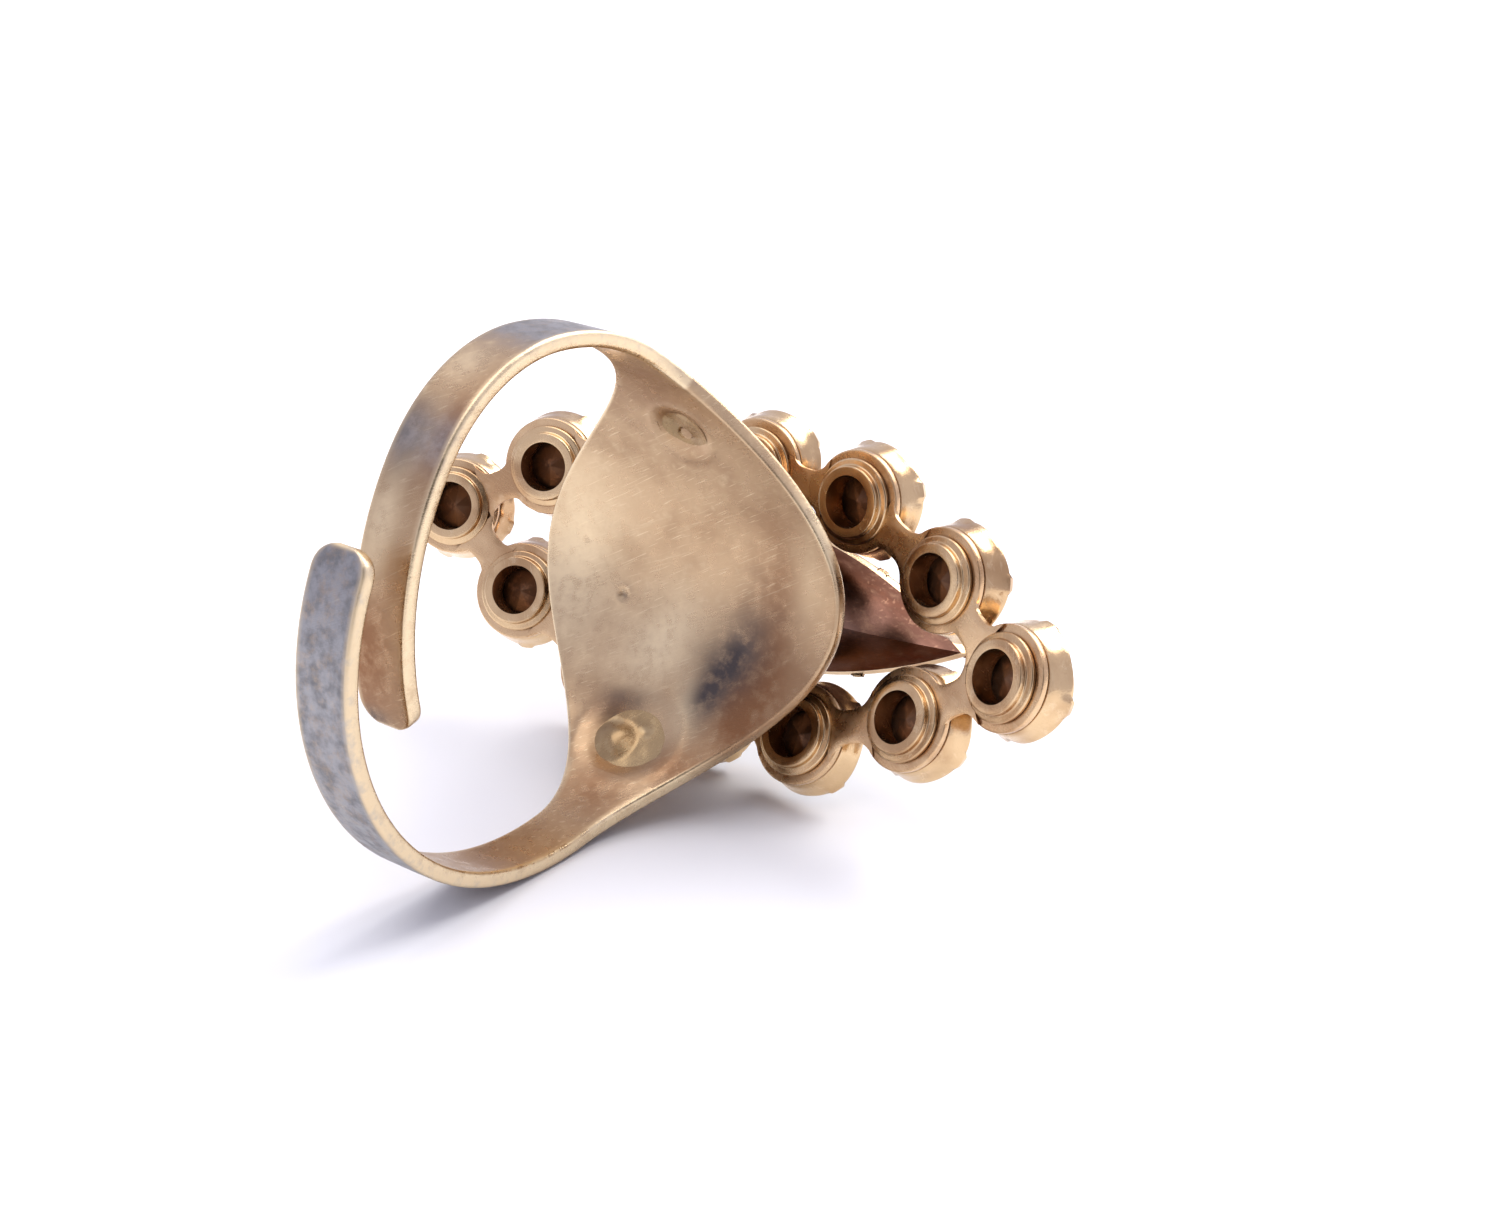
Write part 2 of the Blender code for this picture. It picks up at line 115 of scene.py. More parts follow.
class NodeBench:
    """A small helper that adds and links the nodes of one material."""

    def __init__(self, name: str) -> None:
        """Start a material with a Principled shader.

        Args:
            name: the material's name.
        """
        self.material = bpy.data.materials.new(name)
        self.material.use_nodes = True
        self.tree = self.material.node_tree
        self.shader = self.tree.nodes["Principled BSDF"]

    def add(self, kind: str, settings: dict | None = None, **inputs: object) -> bpy.types.Node:
        """Add a node, set its properties, and set or link its inputs.

        Args:
            kind: the node's type name without "ShaderNode".
            settings: properties of the node itself.
            **inputs: input names, with spaces as underscores, and a value or a socket for each.

        Returns:
            The new node.
        """
        node = self.tree.nodes.new("ShaderNode" + kind)
        for key, value in (settings or {}).items():
            setattr(node, key, value)
        for key, value in inputs.items():
            self.put(self.find(node, key), value)
        return node

    @staticmethod
    def find(node: bpy.types.Node, key: str) -> bpy.types.NodeSocket:
        """The input of that name, or of that number in a name like in_1, that is in use."""
        if key.startswith("in_"):
            return [socket for socket in node.inputs if socket.enabled][int(key[3:])]
        wanted = key.replace("_", " ")
        return next(socket for socket in node.inputs if socket.name == wanted and socket.enabled)

    def put(self, socket: bpy.types.NodeSocket, value: object) -> None:
        """Link a socket to an input, or set the input's value."""
        if isinstance(value, bpy.types.NodeSocket):
            self.tree.links.new(value, socket)
        elif isinstance(value, tuple) and socket.type == "RGBA" and len(value) == 3:
            socket.default_value = (*value, 1.0)
        else:
            socket.default_value = value

    def millimetres(self, turn: float = 0.0, stretch: Colour = (1, 1, 1)) -> bpy.types.NodeSocket:
        """Object coordinates in millimetres, turned about y and then stretched.

        Args:
            turn: the turn, in radians.
            stretch: how much finer the pattern is along each axis.

        Returns:
            The socket that holds the coordinates.
        """
        place = self.add("TexCoord").outputs["Object"]
        turned = self.add("Mapping", Vector=place, Rotation=(0.0, turn, 0.0), Scale=(1000.0,) * 3)
        return self.add("Mapping", Vector=turned.outputs[0], Scale=stretch).outputs[0]

    def noise(self, place: bpy.types.NodeSocket, scale: float, detail: float = 3.0,
              roughness: float = 0.55) -> bpy.types.NodeSocket:
        """Noise of a scale in waves per millimetre."""
        return self.add("TexNoise", Vector=place, Scale=scale, Detail=detail,
                        Roughness=roughness).outputs[0]

    def ramp(self, value: bpy.types.NodeSocket, start: float, end: float, low: float = 0.0,
             high: float = 1.0) -> bpy.types.NodeSocket:
        """Spread a value from start..end to low..high, smoothly and with its ends held."""
        node = self.add("MapRange", {"interpolation_type": "SMOOTHSTEP"}, Value=value,
                        From_Min=start, From_Max=end, To_Min=low, To_Max=high)
        return node.outputs[0]

    def maths(self, operation: str, first: object, second: object) -> bpy.types.NodeSocket:
        """The result of one sum on two values or sockets."""
        return self.add("Math", {"operation": operation}, in_0=first, in_1=second).outputs[0]

    def mix(self, share: object, first: object, second: object) -> bpy.types.NodeSocket:
        """A blend of two colours."""
        node = self.add("Mix", {"data_type": "RGBA"}, Factor=share, A=first, B=second)
        return next(socket for socket in node.outputs if socket.enabled)

    def own(self, name: str) -> bpy.types.NodeSocket:
        """A piece's own attribute, as a number."""
        return self.add("Attribute", {"attribute_name": name}).outputs["Fac"]


@dataclass(frozen=True)
class Gilt:
    """A gold-toned plating with rubbed wear: patches, mottling, scratches, and painted shade with tarnishing in
    the recesses.

    Args:
        name: the material's name.
        body: the plating's main colour.
        pale: its colour where it is rubbed bright, also laid on as a painted reflection in the pale patches on the
            pad and as a painted highlight on the edges.
        deep: its warmer, darker patches.
        recess_colour: the colour in recesses, for painted shade with tarnishing.
        roughness: of the clean plating.
        recess: reach of the painted shade and tarnishing out of a corner, in millimetres.
        scratch_turn: the lie of the fine scratches, in radians about y.
        scratches: how strong the scratches are.
        painted_light_and_wear: whether the outer face and edges follow the piece's own "outer" and "edge"
            attributes, and its tone patches, partly painted shade and painted reflection, are mixed in.
    """

    name: str
    body: Colour
    pale: Colour
    deep: Colour
    recess_colour: Colour
    roughness: float = 0.3
    recess: float = 0.9
    scratch_turn: float = -0.8
    scratches: float = 0.5
    painted_light_and_wear: bool = False
    graze: Colour = (1.0, 1.0, 1.0)
    bare: Colour = (0.33, 0.325, 0.335)
    warm: Colour = (0.24, 0.115, 0.055)
    # Colour of the dark patches: painted shade and a painted dark reflection on the pad's inner face, a stain and
    # a smudge on the upper arm.
    shade_and_stain: Colour = (0.08, 0.066, 0.064)

    def patch(self, bench: NodeBench, tone: Tone, mottle: bpy.types.NodeSocket,
              most: float) -> bpy.types.NodeSocket:
        """How strongly a tone's patches show, broken up by the mottling."""
        broken = bench.ramp(mottle, 0.3, 0.6, 0.6 * most, most)
        return bench.maths("MULTIPLY", bench.own(tone.value), broken)

    def material(self) -> bpy.types.Material:
        """Make the material."""
        bench = NodeBench(self.name)
        place = bench.millimetres()
        patches = bench.noise(place, 0.33, 3.0)
        mottle = bench.noise(place, 1.7, 6.0, 0.62)
        grain = bench.noise(place, 11.0, 4.0, 0.6)
        lines = bench.millimetres(self.scratch_turn, (0.45, 2.0, 11.0))
        scratch = bench.noise(lines, 1.4, 5.0, 0.7)
        colour = bench.mix(bench.ramp(patches, 0.42, 0.66, 0.0, 0.8), self.body, self.deep)
        colour = bench.mix(bench.ramp(mottle, 0.52, 0.8, 0.0, 0.38), colour, self.pale)
        colour = bench.mix(bench.ramp(scratch, 0.56, 0.7, 0.0, 0.45 * self.scratches), colour, self.pale)
        fine = bench.noise(bench.millimetres(self.scratch_turn - 0.12, (0.8, 3.0, 20.0)), 1.0, 1.0)
        cut = bench.ramp(fine, 0.655, 0.71, 0.0, 0.55 * self.scratches)
        colour = bench.mix(cut, colour, self.pale)
        colour = bench.mix(bench.ramp(grain, 0.56, 0.74, 0.0, 0.22), colour, self.deep)
        rough = bench.maths("ADD", bench.ramp(mottle, 0.3, 0.75, self.roughness - 0.06, self.roughness + 0.1),
                            bench.ramp(scratch, 0.5, 0.8, 0.0, 0.16 * self.scratches))
        # Tone patches with painted shade and painted reflection, rubbed wear, and edges with a painted highlight.
        if self.painted_light_and_wear:
            colour, rough = self.wear(bench, colour, rough, place, mottle)
        # Painted shade with tarnishing: the colour darkens towards the recess colour where ambient occlusion finds
        # a corner.
        shade = bench.add("AmbientOcclusion", {"samples": 8}, Distance=self.recess * MM).outputs["AO"]
        painted_shade_and_tarnish = bench.maths("MULTIPLY", bench.ramp(shade, 0.1, 0.72, 1.0, 0.0),
                           bench.ramp(mottle, 0.2, 0.6, 0.75, 1.0))
        colour = bench.mix(bench.maths("MULTIPLY", painted_shade_and_tarnish, 0.85), colour, self.recess_colour)
        rough = bench.maths("ADD", rough, bench.maths("MULTIPLY", painted_shade_and_tarnish, 0.22))
        height = bench.maths("ADD", bench.maths("MULTIPLY", grain, 0.35),
                             bench.maths("MULTIPLY", scratch, self.scratches))
        bump = bench.add("Bump", Height=height, Strength=0.35, Distance=0.03 * MM)
        bench.put(bench.shader.inputs["Base Color"], colour)
        bench.put(bench.shader.inputs["Roughness"], rough)
        bench.put(bench.shader.inputs["Normal"], bump.outputs[0])
        bench.shader.inputs["Metallic"].default_value = 1.0
        bench.shader.inputs["Specular Tint"].default_value = (*self.graze, 1.0)
        return bench.material

    def wear(self, bench: NodeBench, colour: bpy.types.NodeSocket, rough: bpy.types.NodeSocket,
             place: bpy.types.NodeSocket, mottle: bpy.types.NodeSocket) -> tuple:
        """Mix in the tone patches, partly painted shade and painted reflection, rub the outer face through to grey
        metal, leave islands of gold, and brighten the edges with rubbed wear and a painted highlight.

        Args:
            bench: the material's bench.
            colour: the plating's colour so far.
            rough: its roughness so far.
            place: coordinates in millimetres.
            mottle: the fine mottling.

        Returns:
            The new colour and roughness sockets.
        """
        colour = bench.mix(self.patch(bench, Tone.WARM, mottle, 0.95), colour, self.warm)
        # Pale patches: on the pad's inner face a painted reflection.
        colour = bench.mix(self.patch(bench, Tone.PALE, mottle, 0.95), colour, self.pale)
        # Dark patches: a painted dark reflection and painted shade on the pad's inner face, and the dark marks on
        # the outer face.
        colour = bench.mix(self.patch(bench, Tone.DARK, mottle, 0.9), colour, self.shade_and_stain)
        islands = bench.noise(place, 2.1, 6.0, 0.72)
        rubbed = bench.maths("MULTIPLY", bench.own("outer"), bench.own("rub"))
        rubbed = bench.maths("MULTIPLY", rubbed, bench.ramp(islands, 0.45, 0.68, 1.0, 0.7))
        grey = bench.mix(bench.ramp(mottle, 0.35, 0.7), self.bare, tuple(0.62 * c for c in self.bare))
        colour = bench.mix(rubbed, colour, grey)
        rough = bench.maths("ADD", rough, bench.maths("MULTIPLY", rubbed, 0.16))
        # Paler edges: rubbed wear with a painted highlight.
        bright = bench.maths("MULTIPLY", bench.own("edge"), bench.ramp(mottle, 0.3, 0.55, 0.55, 0.95))
        colour = bench.mix(bright, colour, self.pale)
        rough = bench.maths("SUBTRACT", rough, bench.maths("MULTIPLY", bright, 0.04))
        return colour, rough


@dataclass(frozen=True)
class Glass:
    """Clear cut glass, faintly tinted, with fine wear on its facet edges."""

    name: str
    tint: Colour = (0.93, 0.96, 1.0)
    index: float = 1.56

    def material(self) -> bpy.types.Material:
        """Make the material."""
        bench = NodeBench(self.name)
        place = bench.millimetres()
        smear = bench.noise(place, 1.3, 3.0)
        rough = bench.ramp(smear, 0.45, 0.75, 0.015, 0.09)
        colour = bench.mix(bench.ramp(bench.noise(place, 0.6, 2.0), 0.35, 0.7), self.tint,
                           tuple(0.94 * c for c in self.tint))
        bench.put(bench.shader.inputs["Base Color"], colour)
        bench.put(bench.shader.inputs["Roughness"], rough)
        bench.shader.inputs["Transmission Weight"].default_value = 1.0
        bench.shader.inputs["IOR"].default_value = self.index
        return bench.material


@dataclass(frozen=True)
class Foil:
    """One side of the foil on the back of a stone, its mirror or its backing paint."""

    name: str
    colour: Colour
    chipped: Colour
    roughness: float
    metallic: float

    def material(self) -> bpy.types.Material:
        """Make the material."""
        bench = NodeBench(self.name)
        place = bench.millimetres()
        chips = bench.noise(place, 2.6, 5.0, 0.65)
        colour = bench.mix(bench.ramp(chips, 0.5, 0.74), self.colour, self.chipped)
        bench.put(bench.shader.inputs["Base Color"], colour)
        bench.put(bench.shader.inputs["Roughness"],
                  bench.ramp(chips, 0.3, 0.7, self.roughness, self.roughness + 0.2))
        bench.shader.inputs["Metallic"].default_value = self.metallic
        return bench.material


@dataclass(frozen=True)
class TableTop:
    """A plain pale matt table."""

    name: str
    colour: Colour = (0.93, 0.93, 0.945)

    def material(self) -> bpy.types.Material:
        """Make the material."""
        bench = NodeBench(self.name)
        place = bench.millimetres()
        bench.put(bench.shader.inputs["Base Color"],
                  bench.mix(bench.ramp(bench.noise(place, 0.02, 2.0), 0.3, 0.7), self.colour,
                            tuple(0.985 * c for c in self.colour)))
        bench.shader.inputs["Roughness"].default_value = 0.85
        bench.shader.inputs["Specular IOR Level"].default_value = 0.15
        return bench.material


@dataclass(frozen=True)
class Finishes:
    """Every finish of the ring, made once."""

    shank: bpy.types.Material
    cup: bpy.types.Material
    web: bpy.types.Material
    hull: bpy.types.Material
    solder: bpy.types.Material
    glass: bpy.types.Material
    foil: bpy.types.Material
    mirror: bpy.types.Material

    @classmethod
    def make(cls) -> "Finishes":
        """Make the finishes."""
        return cls(
            # The shank's finish carries the painted shade, painted reflection and painted highlight of its patches
            # and edges.
            shank=Gilt("shank_gilt_painted_light_and_wear", (0.52, 0.36, 0.215), (0.78, 0.62, 0.40), (0.37, 0.235, 0.135),
                       (0.13, 0.065, 0.04), 0.30, 1.1, -0.45, 0.9, True).material(),
            cup=Gilt("cup_gilt_bright", (0.69, 0.49, 0.28), (0.93, 0.76, 0.52), (0.40, 0.23, 0.115),
                     (0.14, 0.06, 0.03), 0.2, 0.7, 1.2, 0.3).material(),
            web=Gilt("web_gilt", (0.70, 0.48, 0.275), (0.90, 0.72, 0.48), (0.44, 0.25, 0.125),
                     (0.17, 0.075, 0.04), 0.27, 0.6, 0.4, 0.35).material(),
            # The hull's dark colour is painted shade: the back of the setting lies in the pad's shade.
            hull=Gilt("hull_gilt_painted_shade", (0.085, 0.046, 0.036), (0.26, 0.155, 0.105), (0.05, 0.027, 0.022),
                      (0.06, 0.028, 0.02), 0.34, 1.4, 0.2, 0.4, graze=(0.46, 0.37, 0.34)).material(),
            solder=Gilt("solder_gilt", (0.41, 0.285, 0.15), (0.70, 0.56, 0.35), (0.26, 0.165, 0.085),
                        (0.12, 0.07, 0.035), 0.24, 0.6, -0.8, 0.3).material(),
            glass=Glass("cut_glass").material(),
            foil=Foil("foil_paint", (0.13, 0.062, 0.032), (0.31, 0.15, 0.077), 0.32, 0.75).material(),
            mirror=Foil("foil_mirror", (0.86, 0.86, 0.87), (0.7, 0.69, 0.68), 0.06, 1.0).material(),
        )


# ---------------------------------------------------------------- the ring's own axes

@dataclass(frozen=True)
class Line:
    """The middle line of the shank's blank, two runs of arcs from the pad's centre, in millimetres."""

    centre: Vector = field(default_factory=lambda: Vector((0.0, 1.83, 0.26)))
    tilt: float = math.radians(9.87)
    upper: Section = ((9.6, 16.4), (6.3, 6.3), (10.4, 40.0))
    lower: Section = ((9.6, 3.3), (9.0, 8.4), (10.6, 4.5), (9.4, 40.0))

    def at(self, along: float) -> tuple[Vector, Vector, Vector]:
        """Where the line is at a signed distance from the pad's centre.

        Args:
            along: the distance, positive up the pad.

        Returns:
            The place, the heading and the direction towards the finger.
        """
        side = 1 if along >= 0 else -1
        heading = side * self.tilt
        place = self.centre.copy()
        left = abs(along)
        for radius, length in self.upper if side > 0 else self.lower:
            run = min(left, length)
            turn = run / radius
            middle = heading + turn / 2
            place += 2 * radius * math.sin(turn / 2) * Vector((0, math.sin(middle), side * math.cos(middle)))
            heading += turn
            left -= run
            if left <= 0:
                break
        tangent = Vector((0, math.sin(heading), side * math.cos(heading))) * side
        return place, tangent, Vector((0, math.cos(heading), -side * math.sin(heading)))


@dataclass(frozen=True)
class Seat:
    """Puts meshes drawn in ring millimetres into the frame."""

    matrix: Matrix

    @classmethod
    def from_joint(cls, line: Line, joint: dict, along: float) -> "Seat":
        """Find the ring's place from one of its bends.

        Args:
            line: the shank's middle line.
            joint: the record of a bend's joint.
            along: where that bend lies along the line.

        Returns:
            The seat.
        """
        lean = Matrix.Rotation(LEAN, 4, "X")
        home = Vector(joint["pos_m"]) - (lean @ line.at(along)[0]) * MM
        return cls(Matrix.Translation(home) @ lean @ Matrix.Scale(MM, 4))

    def point(self, place: Vector) -> Vector:
        """A point of the ring in the frame, in metres."""
        return self.matrix @ place

    def finish(self, name: str, shape: bmesh.types.BMesh, materials: Sequence[bpy.types.Material],
               slot: Slot, smooth: bool = True) -> bpy.types.Object:
        """Turn a bmesh in ring millimetres into a piece at the origin.

        Args:
            name: the piece's name.
            shape: the bmesh, which is freed.
            materials: its materials, in the order of its faces' material numbers.
            slot: the record's slot that the finish comes from; not used.
            smooth: whether gentle edges are shaded smooth.

        Returns:
            The piece.
        """
        bmesh.ops.remove_doubles(shape, verts=shape.verts, dist=0.0004)
        bmesh.ops.recalc_face_normals(shape, faces=shape.faces)
        bmesh.ops.transform(shape, matrix=self.matrix, verts=shape.verts)
        mesh = bpy.data.meshes.new(name)
        shape.to_mesh(mesh)
        shape.free()
        if smooth:
            mesh.shade_smooth()
            mesh.set_sharp_from_angle(angle=SMOOTH_UNDER)
        for material in materials:
            mesh.materials.append(material)
        piece = bpy.data.objects.new(name, mesh)
        bpy.context.collection.objects.link(piece)
        LOG.info("%s: %d faces", name, len(mesh.polygons))
        return piece


def spun(section: Section, steps: int, shift: Callable[[Vector], Vector] | None = None,
         closed: bool = True) -> bmesh.types.BMesh:
    """Spin a section of (radius, height) about z.

    Args:
        section: the points, in order.
        steps: how many steps make the full turn.
        shift: moves each point afterwards.
        closed: whether the last point joins the first; if not, both lie on the axis.

    Returns:
        The new bmesh.
    """
    shape = bmesh.new()
    points = [shape.verts.new((radius, 0, height)) for radius, height in section]
    edges = [shape.edges.new(pair) for pair in zip(points, points[1:])]
    if closed:
        edges.append(shape.edges.new((points[-1], points[0])))
    bmesh.ops.spin(shape, geom=points + edges, cent=(0, 0, 0), axis=(0, 0, 1), angle=2 * math.pi,
                   steps=steps, use_merge=True, use_duplicate=False)
    bmesh.ops.remove_doubles(shape, verts=shape.verts, dist=0.0004)
    if shift:
        for point in shape.verts:
            point.co = shift(point.co)
    return shape


def rounded(section: Section, radius: float, steps: int = 3) -> list[tuple[float, float]]:
    """Round the corners of a closed section.

    Args:
        section: the corners, in order.
        radius: how far along its sides each corner is cut back.
        steps: how many sides each round has.

    Returns:
        The rounded section.
    """
    result = []
    count = len(section)
    for index, corner in enumerate(section):
        here = Vector(corner)
        before = Vector(section[index - 1]) - here
        after = Vector(section[(index + 1) % count]) - here
        start = here + before.normalized() * min(radius, before.length * 0.45)
        end = here + after.normalized() * min(radius, after.length * 0.45)
        for step in range(steps + 1):
            share = step / steps
            place = start.lerp(here, share).lerp(here.lerp(end, share), share)
            result.append((place.x, place.y))
    return result


def join(target: bmesh.types.BMesh, extra: bmesh.types.BMesh, matrix: Matrix, number: int = 0) -> None:
    """Move a copy of one bmesh into another.

    Args:
        target: the bmesh that grows.
        extra: the bmesh that is copied in, and kept.
        matrix: where the copy goes.
        number: the material number of its faces.
    """
    mesh = bpy.data.meshes.new("spare")
    extra.to_mesh(mesh)
    mesh.transform(matrix)
    before = len(target.faces)
    target.from_mesh(mesh)
    target.faces.ensure_lookup_table()
    if number:
        for face in target.faces[before:]:
            face.material_index = number
    bpy.data.meshes.remove(mesh)


# ---------------------------------------------------------------- shank

@dataclass(frozen=True)
class Dent:
    """A round hollow in the pad's inner face: place, radius, depth and the width of its soft lip."""

    along: float
    across: float
    radius: float
    depth: float
    lip: float = 0.12

    def depth_at(self, along: float, across: float) -> float:
        """How deep the hollow is at a place on the pad."""
        away = math.hypot(along - self.along, across - self.across)
        bowl = self.depth * (1 - smooth_step(0.35 * self.radius, self.radius, away))
        raised = 0.02 * math.exp(-((away - self.radius - self.lip) / self.lip) ** 2) if self.lip else 0.0
        return bowl - raised


@dataclass(frozen=True)
class Patch:
    """A soft-edged patch of another tone on one face of the shank, in millimetres."""

    face: Face
    tone: Tone
    along: float
    across: float
    reach_along: float
    reach_across: float
    strength: float
    slant: float = 0.0

    def share_at(self, along: float, across: float) -> float:
        """How strongly the patch shows at a place on the blank."""
        off = along - self.along
        aside = across - self.across - self.slant * off
        ragged = 1 + 0.35 * noise.noise(Vector((along * 0.9, across * 0.9, self.along)))
        spread = (off / self.reach_along) ** 2 + (aside / self.reach_across) ** 2
        return self.strength * math.exp(-spread * ragged)


PATCHES = (
    # Dark patches on the pad's inner face: a painted dark reflection at -2.6, -2.6 and -4.4, -2.1, a dark spot in
    # the small pit at -1.42, 2.9, and painted shade by the pocket at -6.0, 1.5.
    Patch(Face.INNER, Tone.DARK, -2.6, -2.6, 2.2, 1.3, 1.15, -0.3),
    Patch(Face.INNER, Tone.DARK, -1.42, 2.9, 0.22, 0.22, 0.8),
    Patch(Face.INNER, Tone.DARK, -4.4, -2.1, 1.0, 0.7, 0.5),
    Patch(Face.INNER, Tone.DARK, -6.0, 1.5, 0.5, 0.8, 0.45),
    Patch(Face.INNER, Tone.WARM, -2.6, -4.7, 3.6, 1.9, 1.0),
    Patch(Face.INNER, Tone.WARM, -7.2, -2.1, 1.0, 1.1, 0.9),
    Patch(Face.INNER, Tone.WARM, -4.6, -3.5, 1.7, 1.0, 0.8),
    Patch(Face.INNER, Tone.WARM, -5.5, 1.6, 0.9, 1.4, 1.0, -0.5),
    # Painted shade along the pocket's upper rim.
    Patch(Face.INNER, Tone.DARK, -5.3, 1.2, 0.45, 1.0, 0.6, -0.5),
    Patch(Face.INNER, Tone.WARM, -9.6, 0.0, 1.8, 1.6, 0.9),
    Patch(Face.INNER, Tone.WARM, 9.4, 0.2, 1.7, 1.8, 0.8),
    Patch(Face.INNER, Tone.WARM, 2.0, -4.0, 2.6, 1.5, 0.35),
    Patch(Face.INNER, Tone.WARM, -16.0, 0.0, 2.5, 2.0, 0.5),
    # Pale patches on the pad's inner face: painted reflection of the bright room.
    Patch(Face.INNER, Tone.PALE, -2.9, 0.6, 2.2, 1.6, 1.0, -0.2),
    Patch(Face.INNER, Tone.PALE, -4.9, -1.5, 1.2, 0.6, 0.7, 0.2),
    Patch(Face.INNER, Tone.PALE, -0.6, 5.4, 4.5, 2.2, 0.9),
    Patch(Face.INNER, Tone.PALE, 1.5, -5.4, 3.0, 0.8, 0.4),
    # Outer face: a dark-grey stain on the upper arm, a smudge at its tip and a darker line along the lower arm's
    # edge.
    Patch(Face.OUTER, Tone.DARK, 22.2, 0.7, 1.1, 0.8, 0.8),
    Patch(Face.OUTER, Tone.DARK, 31.6, 0.5, 0.4, 0.6, 1.0),
    Patch(Face.OUTER, Tone.DARK, -24.0, -0.95, 8.0, 0.28, 0.7),
    Patch(Face.OUTER, Tone.WARM, 29.3, 0.2, 3.4, 1.0, 1.0),
    Patch(Face.OUTER, Tone.WARM, 21.9, -0.8, 2.3, 0.6, 0.9),
    Patch(Face.OUTER, Tone.WARM, 29.0, 1.0, 3.0, 0.4, 0.6),
    Patch(Face.OUTER, Tone.PALE, 24.9, 0.5, 1.7, 0.7, 0.9),
    Patch(Face.OUTER, Tone.PALE, 19.2, 0.4, 0.9, 0.8, 0.6),
)


@dataclass(frozen=True)
class Shank:
    """The stamped split shank: a shield pad and two arms whose ends pass each other at the back."""

    line: Line
    thickness: float = 0.58
    rounding: float = 0.15
    pad_half_width: float = 6.81
    arm_half_width: float = 1.16
    shoulder: float = 11.63
    sharpness: float = 2.02
    dish: float = 0.3
    seam: float = 8.4
    bend_start: float = 9.0
    bend_end: float = 13.0
    upper_end: float = 31.85
    lower_end: float = 32.95
    tip: float = 0.95
    dents: tuple[Dent, ...] = (
        Dent(6.45, -0.15, 1.25, 0.24), Dent(-6.7, 0.3, 1.98, 0.36, 0.22), Dent(-1.42, 2.9, 0.26, 0.1, 0.08), Dent(-2.7, -2.4, 1.7, 0.07, 0.0),
        Dent(0.4, 2.1, 0.1, 0.05, 0.0), Dent(0.4, 4.9, 0.12, 0.05, 0.0), Dent(2.9, -3.1, 0.1, 0.03, 0.0),
    )

    def half_width(self, along: float, end: float | None = None) -> float:
        """Half the blank's width, drawn in to a rounded tip near an arm's end.

        Args:
            along: the signed distance from the pad's centre.
            end: the distance of the arm's end, if it has one.

        Returns:
            The half width.
        """
        reach = min(abs(along) / self.shoulder, 1.0)
        flare = max(0.0, math.cos(reach * math.pi / 2)) ** self.sharpness
        width = self.arm_half_width + (self.pad_half_width - self.arm_half_width) * flare
        if end is not None:
            over = clamp((abs(along) - (end - self.tip)) / self.tip, 0.0, 0.985)
            width *= (1 - over ** 2.3) ** (1 / 2.3)
        return width

    def surface_waves(self, along: float, across: float) -> float:
        """The slight unevenness of a hand-finished stamping."""
        place = Vector((across * 0.35, along * 0.3, 2.0))
        fine = Vector((across * 1.1, along * 1.1, 7.0))
        return 0.03 * noise.noise(place) + 0.008 * noise.noise(fine)

    def blank(self, stations: Sequence[float], columns: int, end: float | None) -> bmesh.types.BMesh:
        """Draw a flat stretch of the blank, thicken it, round its edges and bend it to the line.

        Args:
            stations: signed distances along the line.
            columns: how many columns lie across, rounds left out.
            end: the distance of the arm's end, if the stretch has one.

        Returns:
            The bent blank.
        """
        shape = bmesh.new()
        outer_layer = shape.verts.layers.float.new("outer")
        edge_layer = shape.verts.layers.float.new("edge")
        rub_layer = shape.verts.layers.float.new("rub")
        tone_layers = {tone: shape.verts.layers.float.new(tone.value) for tone in Tone}
        edge_steps = (0.0, 0.12, 0.36, 0.68, 1.0)
        across_count = columns + 2 * len(edge_steps) - 1
        bmesh.ops.create_grid(shape, x_segments=across_count - 1, y_segments=len(stations) - 1, size=1.0)
        extruded = bmesh.ops.extrude_face_region(shape, geom=list(shape.faces))
        upper = {part for part in extruded["geom"] if isinstance(part, bmesh.types.BMVert)}
        for point in shape.verts:
            column = round((point.co.x + 1) / 2 * (across_count - 1))
            row = round((point.co.y + 1) / 2 * (len(stations) - 1))
            along = stations[row]
            width = self.half_width(along, end)
            rim = min(self.rounding, width * 0.45)
            from_edge = min(column, across_count - 1 - column)
            if from_edge < len(edge_steps):
                inset = rim * edge_steps[from_edge]
            else:
                flat = 2 * (width - rim)
                share = (min(column, across_count - 1 - column) - len(edge_steps) + 1) / columns
                inset = rim + flat * share
            side = 1 if column > (across_count - 1) / 2 else -1
            across = side * (width - inset)
            near = inset
            if end is not None:
                near = min(near, end - abs(along))
            inner = point in upper
            half = self.thickness / 2
            drop = rim - math.sqrt(max(0.0, rim * rim - (rim - min(near, rim)) ** 2))
            lift = half - drop
            if inner:
                lift += self.surface_waves(along, across) * clamp(near / 0.5)
                for dent in self.dents:
                    lift -= dent.depth_at(along, across)
            lift = lift if inner else -lift
            place, _, inward = self.line.at(along)
            bend = self.dish * (width / self.pad_half_width) ** 2 * (across / width) ** 2
            point.co = place + Vector((across, 0, 0)) + inward * (lift + bend)
            point[outer_layer] = 0.0 if inner else 1.0
            # Pale edges: rubbed wear with a painted highlight.
            point[edge_layer] = self.edge_polish_and_highlight(along, across) * (
                1 - smooth_step(0.4 * self.rounding, 1.4 * self.rounding, near))
            point[rub_layer] = self.rub(along)
            for patch in PATCHES:
                if inner == (patch.face is Face.INNER):
                    point[tone_layers[patch.tone]] += patch.share_at(along, across)
        return shape

